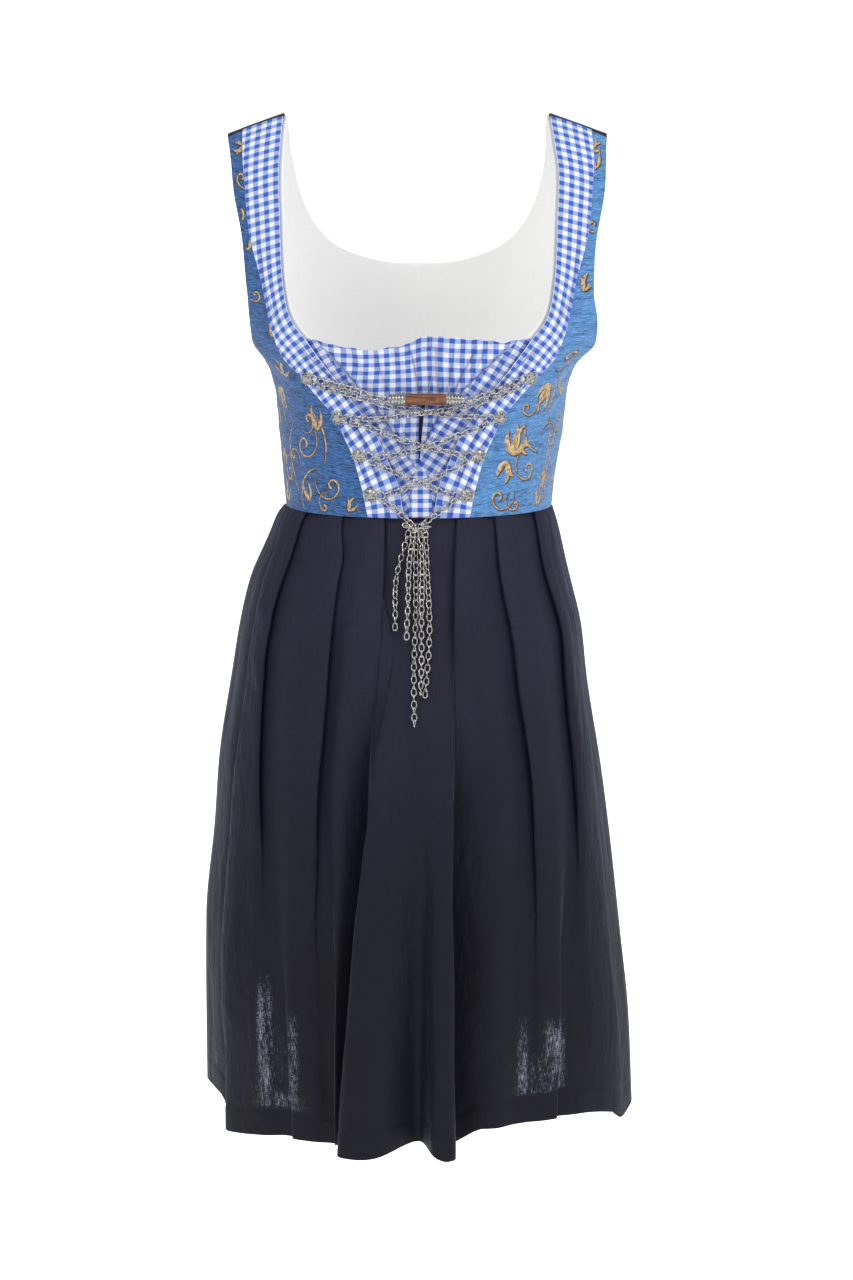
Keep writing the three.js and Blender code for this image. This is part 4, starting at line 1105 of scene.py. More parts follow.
# Shade in the folds of the insert: a narrow line beside each lip, and the troughs of the gathers
def insertShade(x, z, side):
    shade = 0.28 * (1 - gatherHeight(x, z, side) / gatherWaves["height"])
    for line, height, _ in foldsOf(side):
        distance, share = alongLine(x, z, line)
        ends = smooth(share, 0, 0.15) * smooth(1 - share, 0, 0.2)
        beside = 0.7 * np.exp(-(((distance + 0.5) / 0.9) ** 2)) + 0.3 * np.exp(-np.abs(distance + 2) / 3)
        shade = np.maximum(shade, min(1, height / 2) * beside * ends)
    return shade


# Relief of the insert: its gathers, the lips of its folds, and a dip towards the slit
def insertRelief(x, z, side):
    relief = gatherHeight(x, z, side) + uneven(x, z, 8, 0.14, side)
    relief = sum((lip(x, z, *fold) for fold in foldsOf(side)), relief)
    fromSlit = np.abs(x - lookUp(closing, "z", "x", z))
    return relief - 0.7 * np.exp(-((fromSlit / 1.2) ** 2))


# Cloth coordinates of the insert: beyond its main fold the checks turn with the fold
def insertCloth(x, z, side):
    checks = insertChecks
    distance = alongLine(x, z, foldsOf(side)[0][0])[0]
    lean = math.radians(checks["lean"] * side)
    cosine, sine = math.cos(lean), math.sin(lean)
    turned = np.stack([x * cosine - z * sine, x * sine + z * cosine], axis=-1)
    middle = x - checks["drift"] * (x - checks["middle"]) * (z - checks["low"]) / 100
    rise = lookUp(insertTop, "x", "z", x) - checks["topMean"]
    row = z - checks["follow"] * smooth(z, -275, -222) * rise + 0.9 * np.sin(x / 21 + z / 37)
    column = middle + checks["offset"] + 1.1 * np.sin(z / 19 + x / 31) * smooth(-z, 212, 250)
    return np.where((distance > 0)[..., None], turned, np.stack([column, row], axis=-1))


# One half of the insert, from under the band to the slit. Its top edge is wavy and finely scalloped,
# which dies out downwards.
def makeInsert(name, side):
    rows, fullDown = edged(insertStyle["rows"], 0.006)
    across, fullAcross = edged(insertStyle["columns"], 0.006)
    row = mix(cornerRow, waistRow, rows)[:, None]
    top = float(lookUp(insertTop, "x", "z", closing["x"][-1]))
    slitZ = mix(top, waistZ, rows)[:, None]
    slitX = lookUp(closing, "z", "x", slitZ) + side * lookUp(closing, "z", "halfSlit", slitZ)
    covered = insertStyle["covered"]
    edgeAngle, edgeZ = frontPlace(row, 0.0)
    inAngle, inZ = frontPlace(row, 0.5)
    open_ = np.clip((across[None, :] - covered) / (1 - covered), 0, 1)
    under = np.clip(1 - across[None, :] / covered, 0, 1)
    angle = mix(mix(side * edgeAngle, angleAt(slitX, slitZ), open_), side * inAngle, under)
    straightZ = mix(mix(edgeZ, slitZ, open_), inZ, under)
    x = bodyPoint(angle, straightZ, "front")[..., 0]
    edgeTop = float(frontPlace(cornerRow, 0.0)[1])
    scallop = 0.55 * np.sin(x / 2.7) + 0.45 * np.sin(x / 4.9 + 1)
    wave = (lookUp(insertTop, "x", "z", x) + scallop - mix(edgeTop, top, open_)) * smooth(open_, 0, 0.15)
    z = straightZ + wave * (1 - rows[:, None]) ** 3
    relief = insertRelief(x, z, side) * smooth(1 - under, 0, 1)
    points = layerPoint(angle, z, "front", insertStyle["lift"] + relief)
    hemLine = 0.5 * edgeMask(fullDown)[:, None] * np.ones_like(x)
    piece = wall("insert" + name.title(), points, insertStyle["thickness"], "ginghamCloth",
                 insertCloth(x, z, side), fullGrid(fullDown, fullAcross),
                 {"edge": hemLine, "shade": insertShade(x, z, side)}, outward=side)
    onPart(piece, "gingham", "insert_" + name)


stripStyle = {"left": -9, "right": 13, "top": -338, "lift": 2.1, "thickness": 1.2, "pinch": 6.5,
              "pinchDown": 0.4, "tuck": 2.4, "tuckDown": 0.16}
tapeStyle = {"half": 8, "top": -264, "bottom": -350, "lift": -1.45, "thickness": 1.1, "groove": 0.6,
             "grooveHalf": 0.5, "rib": 0.18, "ribPitch": 1.5, "ribHalf": 1.6}


# A strip of the front between two widths at each height
def stripGrid(heights, leftX, rightX, across):
    x = mix(leftX[:, None], rightX[:, None], across[None, :])
    z = np.broadcast_to(heights[:, None], x.shape)
    return angleAt(x, z), x, z


# The flat strip at the waist, pinched and tucked under the folds at its top
def makeCentreStrip():
    style = stripStyle
    down, fullDown = edged(34, 0.02)
    across, fullAcross = edged(16, 0.04)
    heights = mix(style["top"], waistZ + seamGap / 2, down)
    pinch = style["pinch"] * np.exp(-((down / style["pinchDown"]) ** 2))
    angle, x, z = stripGrid(heights, style["left"] + pinch, style["right"] - pinch, across)
    relief = 0.5 * np.sin(math.pi * across)[None, :] + uneven(x, z, 7, 0.12, 1.0)
    tucked = style["tuck"] * np.exp(-((down / style["tuckDown"]) ** 2))[:, None]
    points = layerPoint(angle, z, "front", style["lift"] + relief - tucked)
    full = fullGrid(fullDown, fullAcross)
    piece = wall("centreStrip", points, style["thickness"], "ginghamCloth",
                 np.stack([x + 3.4, z + 3.0], axis=-1), full, {"edge": 0.6 * edgeMask(full)}, outward=-1)
    onPart(piece, "gingham", "centre_strip")


# The dark tape behind the slit, with the groove of its closed zip down the middle
def makeTape():
    style = tapeStyle
    down, fullDown = edged(60, 0.01)
    across, fullAcross = edged(20, 0.04)
    heights = mix(style["top"], style["bottom"], down)
    middle = lookUp(closing, "z", "x", heights)
    angle, x, z = stripGrid(heights, middle - style["half"], middle + style["half"], across)
    fromMiddle = np.abs(x - middle[:, None])
    ribs = style["rib"] * np.cos(2 * math.pi * z / style["ribPitch"])
    ribs = ribs * np.exp(-((fromMiddle / style["ribHalf"]) ** 4))
    relief = ribs - style["groove"] * np.exp(-((fromMiddle / style["grooveHalf"]) ** 2))
    points = layerPoint(angle, z, "front", style["lift"] + relief)
    piece = wall("zipTape", points, style["thickness"], "navyBodice", np.stack([x, z], axis=-1),
                 fullGrid(fullDown, fullAcross), outward=-1)
    onPart(piece, "navy_cloth", "zip_tape")


for name, side in sides:
    makeInsert(name, side)
makeCentreStrip()
makeTape()
print("insert made")

# The straps of the back run over the shoulder, less far at their outer tip, and rise over the fronts
backStyle = {"lift": 2.3, "thickness": 1.6, "rows": 120, "columns": 170, "relax": 60,
             "overShoulder": 3.4, "overTip": 2.2, "overLift": 1.4}
backLiningStyle = {"lift": 0.7, "thickness": 1.0, "rows": 60, "columns": 84, "relax": 15,
                   "overShoulder": 0}

# Folds of the back with their widths and heights, seen from the front as through the cloth: drags
# from the armholes to the middle, and cross folds above the waist
backFolds = [
    ([(-156, -236), (-128, -262), (-92, -282), (-52, -292)], 6, -1.3),
    ([(152, -228), (124, -254), (92, -270), (46, -276)], 5, -1.1),
    ([(-148, -292), (-112, -312), (-70, -322), (-20, -318)], 7, 1.1),
    ([(146, -300), (108, -322), (64, -330), (22, -330)], 6, 1.0),
    ([(-138, -350), (-84, -356), (-30, -352), (18, -356)], 5, -1.0),
    ([(138, -362), (92, -368), (44, -372), (4, -370)], 4.5, -0.9),
    ([(-70, -180), (-52, -214), (-44, -250), (-46, -290)], 7, 0.8),
    ([(84, -176), (62, -206), (50, -246), (52, -284)], 7, 0.9),
]


def backRelief(x, z):
    return creased(uneven(x, z, 21, 0.3, 0.9), x, z, backFolds)


# Evens out the turn of the cloth below the armhole: each point moves towards the mean of its neighbours
def relaxed(points, rows, times):
    strength = 0.5 * (smooth(rows, 3, 4.5) * smooth(-rows, -9, -7))[1:-1, None, None]
    for _ in range(times):
        inner = points[1:-1, 1:-1]
        mean = (points[:-2, 1:-1] + points[2:, 1:-1] + points[1:-1, :-2] + points[1:-1, 2:]) / 4
        points[1:-1, 1:-1] = inner + strength * (mean - inner)
    return points


# One half of the back as a grid, from its side to the neckline or the middle. The straps end at the
# shoulder, or run over it by a few millimetres to meet the fronts.
def backHalf(style, side, inset, folded):
    share, fullDown = edged(style["rows"], 0.006)
    rows = backWaistRow * share ** rowPower["back"]
    across, fullAcross = edged(style["columns"] // 2, 0.01)
    neckZ = lookUp(backRows, "row", "neckZ", rows)
    sideZ = lookUp(backRows, "row", "sideZ", rows)
    inMiddle = rows >= backNeckRow
    neckX = np.where(inMiddle, 0.5, np.maximum(lookUp(backRows, "row", "neckX", rows) + inset, 0.5))
    start = angleAt(neckX, neckZ)[:, None]
    end = angleAt(lookUp(backRows, "row", "sideX", rows), sideZ)[:, None]
    angle = side * mix(start, end, across[None, :])
    z = np.maximum(mix(neckZ[:, None], sideZ[:, None], across[None, :]), waistZ + seamGap / 2)
    z = np.where(rows[:, None] <= 0, 0, z)
    x = bodyPoint(angle, z, "back")[..., 0]
    relief = (backRelief(x, z) if folded else uneven(x, z, 15, 0.12, 1.0)) + seamDip(angle)
    points = relaxed(layerPoint(angle, z, "back", style["lift"] + relief), rows, style["relax"])
    joinedThere = inMiddle[:, None] & (across[None, :] < 0.5)
    full = np.minimum(fullDown[:, None], np.where(joinedThere, 1, fullAcross[None, :]))
    if style["overShoulder"]:
        seamX = x[:1]
        reach = mix(style["overShoulder"], style["overTip"], smooth(np.abs(seamX), 166, 171))
        over = mix(reach, 0.5, np.linspace(0, 1, 5)[:, None])
        rise = style["overLift"] * (1 - smooth(np.abs(seamX), 168, 182))
        lift = style["lift"] + rise + np.zeros((5, 1))
        onFront = layerPoint(angle[:1], shoulderZ(seamX) - over, "front", lift)
        points = np.concatenate([onFront, points[1:]])
        rounded = np.minimum(np.array([0.3, 0.8, 1, 1, 1])[:, None], fullAcross[None, :])
        full = np.concatenate([rounded, np.broadcast_to(fullAcross, full[1:4].shape), full[4:]])
        z = np.concatenate([-over + 0 * z[:1], z[1:]])
        angle = np.concatenate([np.repeat(angle[:1], 5, axis=0), angle[1:]])
        inMiddle = np.concatenate([np.zeros(4, bool), inMiddle])
    return points, side * gridNormals(points), clothPlace(angle, z), full, inMiddle


# The whole back: its two halves side by side, joined down the middle below the neckline
def makeBackPiece(name, style, finish, slot, replaced, inset, folded):
    left, right = (backHalf(style, side, inset, folded) for _, side in sides)
    points, normals, uv, full = (
        np.concatenate([part[:, ::-1], other], axis=1) for part, other in zip(left[:4], right[:4]))
    inMiddle = left[4]
    rows, columns = full.shape
    missing = np.zeros((rows - 1, columns - 1), bool)
    missing[:, columns // 2 - 1] = ~inMiddle[:-1]
    piece = wall(name, points, style["thickness"], finish, uv, full, outward=1, normals=normals,
                 missing=missing)
    onPart(piece, slot, replaced)


makeBackPiece("backBodice", backStyle, "navyBodice", "navy_cloth", "back_bodice", 0, True)
makeBackPiece("liningBack", backLiningStyle, "liningCloth", "lining", "lining_back", -1.2, False)
print("back made")

# Angles of the visible fold edges of the knife pleats by drop
pleatAngles = {
    "left": {"drop": [0, 50, 130, 270, 630], "inner": [34.5, 29.5, 29.5, 30, 28.6],
             "outer": [56.5, 56, 57.8, 52.5, 44], "side": [74, 68, 66.5, 66, 63.4]},
    "right": {"drop": [0, 50, 130, 270, 630], "inner": [35, 33.6, 35.7, 37.8, 34],
              "outer": [60.5, 58.5, 62.5, 59.5, 45], "side": [78, 75.5, 75.5, 72, 69.3]},
}
backPleatAngles = {"waist": [13, 34, 57, 80], "hem": [12, 31, 51, 71]}

# How each pleat lies at those drops: degrees that it overlaps, its depth, the thickness of its fold,
# and how far it has opened out into a soft wave. An edge faces the middle (1) or the side (-1).
pleatDrops = [0, 50, 125, 260, 340, 480, 630]
pleatStyle = {
    "inner": {"overlap": [7, 7, 6.5, 6, 5, 4, 4], "depth": [4.6, 6, 8, 8.5, 7.5, 5.5, 5],
              "fold": [2, 2, 2.1, 2.2, 2.6, 3, 3], "open": [0, 0, 0, 0.05, 0.35, 0.8, 0.9], "facing": 1},
    "outer": {"overlap": [7, 7, 6.5, 6, 5, 4, 4], "depth": [4.6, 6, 8, 8, 6.5, 5.5, 6.5],
              "fold": [2, 2, 2.1, 2.2, 2.6, 3, 3], "open": [0, 0, 0, 0.15, 0.6, 1, 1], "facing": 1},
    "side": {"overlap": [4, 4.5, 5, 5, 5, 6, 6], "depth": [4.2, 4.3, 4.6, 5.4, 6.5, 9, 11],
             "fold": [1.9, 1.9, 2, 2.4, 3, 4, 5], "open": [0, 0, 0, 0, 0, 0, 0], "facing": -1},
    "back": {"overlap": [7, 7, 7, 7, 6.5, 6, 6], "depth": [3, 8, 12, 14, 14, 13, 13],
             "fold": [1.5, 2.4, 2.8, 3.6, 4.5, 6, 7], "open": [0, 0, 0, 0.05, 0.2, 0.5, 0.65],
             "facing": 1},
}

# The middle panel of the front on either side: x and lift of its edge and of the turn behind it, and
# half the thickness of that fold. Then the lift of its middle, and how round it is up to its edge.
middlePanel = {
    "left": {
        "drop": [0, 60, 130, 220, 280, 390, 630],
        "panelX": [48, 40, 25, 38, 46, 55, 68],
        "panelLift": [-3.8, -7, -5, 4, 10, 18, 28],
        "nextX": [34, 36, 38, 47, 50, 53, 62],
        "nextLift": [-1.2, -1.5, -4, -9, -12, -14, -16],
        "half": [1.2, 1.6, 0, -2, -3.5, -5, -5],
    },
    "right": {
        "drop": [0, 60, 110, 170, 230, 310, 410, 630],
        "panelX": [52, 47, 40, 34, 32, 30.5, 28.5, 28],
        "panelLift": [-3.8, -7, -8, -6, 2, 11, 17, 28],
        "nextX": [38, 37, 36, 35.5, 35.5, 33, 27, 22],
        "nextLift": [-1.2, -1.5, -2, -4, -8, -12, -14, -16],
        "half": [1.2, 1.6, 1, 0, -1, -3, -4.5, -5],
    },
    "lift": {"drop": [0, 4, 60, 130, 200, 310, 450, 630], "middle": [-1.8, -4.6, -8, -8, -2, 8, 8, 0]},
    "crest": {"drop": [0, 200, 400, 630], "share": [0.35, 0.4, 0.8, 1.05]},
}
skirtStyle = {"rows": {"front": 150, "back": 122}, "flatWidth": {"front": 0.9, "back": 1.0},
              "hemDent": 0.5, "dentHalf": 1.6, "hemStep": 0.35, "topLift": 2.4, "topEnds": (0, 60)}

# Creases of the skirt's front in x and z with their widths and heights: light pressed folds and drags
skirtFolds = [
    ([(-158, -470), (-150, -500), (-160, -530), (-156, -570)], 5, 1.6),
    ([(-120, -410), (-128, -470), (-140, -560), (-146, -650)], 12, 1.5),
    ([(-66, -420), (-72, -520), (-74, -640), (-80, -760)], 14, 1.6),
    ([(-92, -560), (-70, -600), (-50, -650), (-44, -720)], 10, -1.4),
    ([(60, -580), (80, -592), (108, -590), (120, -580)], 4, -0.8),
    ([(66, -500), (84, -506), (104, -500)], 3.5, 0.6),
    ([(72, -430), (84, -520), (90, -640), (92, -760)], 14, 1.5),
    ([(138, -470), (150, -560), (162, -660), (172, -780)], 9, 1.6),
    ([(-20, -640), (-26, -760), (-30, -880), (-34, -1000)], 16, 2.2),
    ([(6, -640), (2, -760), (-2, -880), (-4, -1000)], 9, -2.0),
    ([(22, -700), (20, -820), (22, -940)], 8, 1.6),
    ([(-180, -700), (-186, -820), (-190, -940)], 10, 1.8),
    ([(-110, -760), (-116, -860), (-112, -960)], 12, -1.4),
    ([(110, -740), (118, -850), (116, -960)], 12, 1.4),
    ([(150, -800), (158, -900), (170, -990)], 10, -1.8),
    ([(-196, -880), (-186, -900), (-176, -896)], 4, 0.8),
    ([(40, -860), (60, -872), (84, -866)], 4, -0.6),
]

# Creases of the skirt's back, likewise
skirtBackFolds = [
    ([(-96, -450), (-104, -560), (-112, -690), (-120, -820)], 12, 1.6),
    ([(52, -430), (58, -540), (60, -680), (66, -800)], 13, 1.6),
    ([(-30, -640), (-34, -760), (-36, -900)], 11, -1.6),
    ([(126, -520), (140, -650), (150, -800)], 10, 1.5),
    ([(-150, -560), (-160, -700), (-168, -860)], 9, -1.5),
    ([(10, -740), (30, -756), (56, -750)], 5, -0.9),
    ([(-90, -880), (-66, -892), (-40, -884)], 5, 0.8),
    ([(96, -850), (102, -930), (100, -1000)], 11, -1.6),
]

# Where painted light shows through the skirt's thin cloth, columns and the faint areas beside them: x,
# z, half width, half height, amount
lightThroughPlaces = [
    (-153, -918, 8, 66, 1.0),
    (-124, -934, 6, 54, 0.75),
    (-138, -974, 26, 12, 0.8),
    (-138, -940, 22, 46, 0.28),
    (102.5, -926, 6, 44, 0.85),
    (133, -930, 12, 44, 0.95),
    (116, -950, 24, 28, 0.5),
    (-204, -950, 5, 14, 0.5),
]


# Point of the skirt's outline at an angle in degrees, moved outwards by a lift and along the cloth
def skirtPoint(drop, angle, lift, shift, face):
    halfWidth = np.where(angle < 0, lookUp(skirtForm, "drop", "left", drop)[:, None],
                         lookUp(skirtForm, "drop", "right", drop)[:, None])
    depth = lookUp(skirtForm, "drop", face, drop)[:, None]
    sine, cosine = np.sin(np.radians(angle)), np.cos(np.radians(angle))
    tangent = unit(np.stack([halfWidth * cosine, depth * sine], axis=-1))
    x = halfWidth * sine + tangent[..., 0] * shift + tangent[..., 1] * lift
    y = -depth * cosine + tangent[..., 1] * shift - tangent[..., 0] * lift
    return np.stack([x, y if face == "front" else -y], axis=-1)


# Several columns of a table at a drop
def byDrop(table, columns, drop):
    return [lookUp(table, "drop", column, drop) for column in columns]


# The three points of a turn of the cloth: the side it arrives on, the tip, the side it leaves on
def turn(angle, lift, half, tip):
    return [(angle, lift - half, 0 * tip), (angle, lift, tip), (angle, lift + half, 0 * tip)]


# The points of a turn with the samples of the stretch after each: more after the first
def withSamples(places, first):
    return [(*place, 3 if i else first) for i, place in enumerate(places)]


# Lifts of an opened pleat's points as shares of its depth, for its inner turn and for its edge
openWaves = [(-0.98, -1.0, -0.92), (-0.4, -0.2, -0.06)]


# A turn of the cloth laid out flat as far as its pleat has opened into a soft wave
def flattened(places, wave, depth, opened):
    return [(angle + 1.6 * opened * (k - 1), mix(lift, depth * wave[k], opened), shift * (1 - opened))
            for k, (angle, lift, shift) in enumerate(places)]


# Pleats from the middle to the side seam, as a list of (angle, lift, shift, samples). Where an edge
# faces the middle, the panel before it runs on underneath; where it faces the side, the panel after it
# comes out from underneath. An opened pleat is a trough that rises into the next panel.
def pleatPath(drop, start, edges):
    zero = 0 * drop
    points = list(start)
    for edge, name in edges:
        style = {"drop": pleatDrops, **pleatStyle[name]}
        overlap, depth, fold, opened = byDrop(style, ("overlap", "depth", "fold", "open"), drop)
        fromAngle, fromLift = points[-1][0], points[-1][1]
        if style["facing"] < 0:
            points.append((mix(fromAngle, edge, 0.5), zero, zero, 6))
            folds = [turn(edge, -fold / 2, -fold / 2, fold / 2),
                     turn(edge - overlap, -depth + fold / 2, -fold / 2, -fold / 2)]
        else:
            crest = np.where(fromLift < -fold, 0.5, 0.35)
            points.append((mix(fromAngle, edge, crest), zero, zero, 8))
            points.append((edge - mix(0.25 * overlap, 9, opened), -0.93 * depth, zero, 7))
            under = np.minimum(edge + mix(overlap, -6, opened), 88.5)
            folds = [turn(under, -depth + fold / 2, fold / 2, fold / 2),
                     turn(edge, -fold / 2, fold / 2, -fold / 2)]
            folds = [flattened(*both, depth, opened) for both in zip(folds, openWaves)]
        for places in folds:
            points += withSamples(places, 4)
        if style["facing"] < 0:
            points.append((mix(edge, 90, 0.25), -0.75 * depth, zero, 6))
    return points + [(zero + 90, zero, zero, 6)]


# Front half ring of the skirt on one side, with the edge of the middle panel
def frontHalfRing(drop, name):
    columns = ("panelX", "panelLift", "nextX", "nextLift", "half")
    panelX, panelLift, nextX, nextLift, half = byDrop(middlePanel[name], columns, drop)
    halfWidth = lookUp(skirtForm, "drop", name, drop)
    middle = lookUp(middlePanel["lift"], "drop", "middle", drop)
    crest = lookUp(middlePanel["crest"], "drop", "share", drop)
    tip = np.abs(half) * smooth(panelX - nextX, -2, 6)
    panelAngle, nextAngle = (np.degrees(np.arcsin(x / halfWidth)) for x in (panelX, nextX))
    zero = 0 * drop
    start = [(zero, middle, zero, 1), (0.55 * panelAngle, mix(middle, panelLift - half, crest), zero, 8)]
    start += withSamples(turn(panelAngle, panelLift, half, tip), 7)
    start += withSamples(turn(nextAngle, nextLift, half, -tip), 4)
    names = ("inner", "outer", "side")
    return pleatPath(drop, start, list(zip(byDrop(pleatAngles[name], names, drop), names)))


# Back half ring of the skirt, the same on both sides
def backHalfRing(drop):
    down = drop / skirtLength
    depth = lookUp({"drop": pleatDrops, **pleatStyle["back"]}, "drop", "depth", drop)
    ends = zip(backPleatAngles["waist"], backPleatAngles["hem"])
    edges = [(mix(waist, hem, down), "back") for waist, hem in ends]
    return pleatPath(drop, [(0 * drop, -0.93 * depth, 0 * drop, 1)], edges)


# Control points of the whole ring of one face by row, and the samples of each stretch between them
def wholeRing(drop, face):
    if face == "front":
        left, right = (frontHalfRing(drop, name) for name, _ in sides)
    else:
        left = right = backHalfRing(drop)
    mirrored = [(-angle, lift, -shift) for angle, lift, shift, _ in left[:0:-1]]
    ordered = mirrored + [place[:3] for place in right]
    counts = [place[3] for place in left[:0:-1]] + [place[3] for place in right[1:]]
    return [np.stack([place[i] + 0 * drop for place in ordered], axis=1) for i in range(3)], counts


# The skirt's top lies a little further out, so that it meets the bodice
def waistLift(drop):
    return skirtStyle["topLift"] * (1 - smooth(drop, *skirtStyle["topEnds"]))


# Smooth curve through control points, for every row at once: a cubic between neighbours whose speed
# goes by the square root of their distance. Counts are the samples of each stretch.
def smoothRing(control, counts):
    steps = np.sqrt(np.maximum(np.linalg.norm(np.diff(control, axis=1), axis=2), 0.05))[..., None]
    slope = np.diff(control, axis=1) / steps
    before, after = steps[:, :-1], steps[:, 1:]
    inner = (slope[:, :-1] * after + slope[:, 1:] * before) / (before + after)
    tangent = np.concatenate([slope[:, :1], inner, slope[:, -1:]], axis=1)
    parts = []
    for i, count in enumerate(counts):
        t = (np.arange(count) / count)[None, :, None]
        h = steps[:, i:i + 1]
        p, q = control[:, i:i + 1], control[:, i + 1:i + 2]
        m, n = tangent[:, i:i + 1] * h, tangent[:, i + 1:i + 2] * h
        parts.append(p + t * m + t**2 * (3 * (q - p) - 2 * m - n) + t**3 * (m + n - 2 * (q - p)))
    return np.concatenate([*parts, control[:, -1:]], axis=1)


# How much painted light shows through the thin cloth at a place on the skirt's front
def lightThroughAt(x, z, hemTop):
    amount = np.zeros(np.shape(x))
    for placeX, placeZ, halfX, halfZ, most in lightThroughPlaces:
        away = ((x - placeX) / halfX) ** 4 + ((z - placeZ) / halfZ) ** 6
        amount = np.maximum(amount, most * np.exp(-away))
    return amount * (z > hemTop)


sheenStyle = {"most": 0.75, "beside": 0.8, "half": 2.2, "starts": (15, 70), "fades": (200, 520),
              "low": 0.35}


# Painted sheen along the edges of the side pleats: a bell across the edge, which fades towards the hem
def edgeSheen(drop, angle, lift):
    amount = 0 * angle
    style = sheenStyle
    fade = mix(1, style["low"], smooth(drop, *style["fades"]))
    fade = (smooth(drop, *style["starts"]) * fade)[:, None]
    for name, sign in sides:
        edge = lookUp(pleatAngles[name], "drop", "side", drop)[:, None]
        beside = (sign * angle - edge + style["beside"]) / style["half"]
        amount = amount + style["most"] * fade * np.exp(-(beside**2))
    return amount * smooth(lift, -2.5, -0.5)


# One face of the skirt: its pleats, creases and turned hem, level with the seams at both sides
def makeSkirt(face):
    inFront = face == "front"
    share, fullDown = edged(skirtStyle["rows"][face], 0.0035)
    drop = skirtLength * share
    (angle, lift, shift), counts = wholeRing(drop, face)
    control = skirtPoint(drop, angle, lift + waistLift(drop)[:, None], shift, face)
    path = smoothRing(np.concatenate([control, angle[..., None], lift[..., None]], axis=2), counts)
    xy, angle, lift = path[..., :2], path[..., 2], path[..., 3]
    hemZ = lookUp(frontHem if inFront else backHem, "angle", "z", angle)
    z = mix(waistZ - seamGap / 2, hemZ, share[:, None])
    points = np.concatenate([xy, z[..., None]], axis=2)
    normals = gridNormals(points) * (-1 if inFront else 1)
    x = points[..., 0]
    relief = smooth(drop, 10, 220)[:, None] * uneven(angle * 3, z, 46, 1.1, 0.3 if inFront else 2.2)
    relief = creased(relief, x, z, skirtFolds if inFront else skirtBackFolds) * smooth(lift, -6, -1)
    fromHem = hemDepth - (skirtLength - drop)[:, None] + 0 * x
    relief = relief - skirtStyle["hemDent"] * np.exp(-((fromHem / skirtStyle["dentHalf"]) ** 2))
    relief = relief + skirtStyle["hemStep"] * smooth(fromHem, 0, 2.5)
    nearSeam = smooth(90 - np.abs(angle), 0.5, 4)
    points = points + normals * np.array([1, 1, 0]) * (relief * nearSeam)[..., None]
    forwards = 1 if inFront else -1
    points[..., 1] = forwards * np.minimum(forwards * points[..., 1], seamGap / 2)
    # Painted light through the thin cloth of the front, above the turned hem
    lightThrough = lightThroughAt(x, z, hemZ + hemDepth) * smooth(lift, -26, -22) if inFront else 0 * x
    sheen = edgeSheen(drop, angle, lift) if inFront else 0 * x
    around = np.broadcast_to(lengthsAlong(xy[-1])[None, :], x.shape)
    uv = np.stack([around, drop[:, None] + 0 * x], axis=-1)
    full = np.broadcast_to(fullDown[:, None], x.shape)
    piece = wall("skirt" + face.title(), points, skirtWall, "navySkirt", uv, full,
                 {"lightThrough": lightThrough, "sheen": sheen}, outward=-forwards)
    onPart(piece, "navy_cloth", "skirt_" + face)


makeSkirt("front")
makeSkirt("back")
print("skirt made")

chainLift = 7.9
chainStyle = {"length": 8.6, "width": 6.6, "wire": 0.74, "pitch": 5.7, "turn": 0.62}
tasselStyle = {"length": 8.8, "width": 6.2, "wire": 0.68, "pitch": 6.1, "turn": 0.68}
linkStyle = {"around": 14, "sides": 6, "square": 0.82, "twist": 0.55}

# Routes of the chain over the bodice: x, z and lift above the body form, where none is given that of
# the band
chainRoutes = [
    [(-88.6, -257.4), (-74, -260, 7.6), (-60, -263, 8.2), (-47, -267.2, 9.8), (-37, -270.4, 11.8),
     (-28.9, -271.5, 13.4)],
    [(41.9, -271.5, 13.8), (49, -270.6, 12.4), (61, -267.8, 9.8), (74, -264, 8.2), (88.6, -257.6)],
    [(-92.6, -261), (-81, -264.6), (-61.5, -269), (-49, -272.6), (-25, -279.3), (-4, -281.6),
     (9, -284.4), (35.6, -288.4), (58.4, -290.6)],
    [(-58.4, -291.5), (-42, -292.3), (-29, -290.8, 8), (-16, -288.6, 10.2), (-5, -286.2, 12.2),
     (6, -284.4, 12.4), (18, -283.2, 10.6), (31, -281.4, 8.2), (44, -279.2), (58, -275), (76, -270),
     (92.6, -261)],
    [(-61.5, -298), (-50, -299), (-36, -304.5), (-21, -310), (-8, -314.4), (5, -318.6), (25, -323.4),
     (39.4, -327.6)],
    [(61.5, -298), (45, -304.6), (32, -309.2, 8.6), (18.5, -314.4, 11.8), (5, -318.8, 12.4),
     (-8, -322.6, 11.4), (-21, -327, 8.2), (-39.2, -330.4)],
    [(-42.4, -335.2), (-34, -339.4), (-21, -345), (-8, -350), (2, -354), (12, -359), (21, -363.4),
     (28.8, -366.4)],
    [(42.4, -335.2), (30, -342.6, 8.2), (17, -348, 11.2), (5, -352.9, 12.4), (-8, -358.2, 10.4),
     (-18, -362.6, 7.8), (-28.8, -366.4)],
    [(-32.5, -373), (-25, -378, 7.6), (-17, -385, 8.6), (-7.6, -394.4, 10)],
    [(32.5, -373), (22, -381, 7.6), (12, -389, 8.6), (4.4, -394.4, 10)],
]

barStyle = {"x": 6.5, "z": -271.5, "lift": 11.6, "length": 39, "radius": 5.25}
capStyle = {"length": 17, "innerRadius": 5.3, "outerRadius": 3.6, "coils": 5, "wire": 1.15,
            "coreAt": [0, 0.5, 16, 16.6, 16.6], "coreRadii": [4.6, 4.7, 3.2, 2.6, 0.02],
            "eye": 2.3, "eyeAt": 17.5, "eyeWire": 0.7}
tasselHead = {"x": -1.6, "z": -400, "lift": 9.6, "pitch": 9,
              "links": [(-11.0, -396.5), (-6.5, -400.2), (-1.6, -398.6), (3.2, -400.4), (7.6, -397.0)]}
strandRadius = 2.4

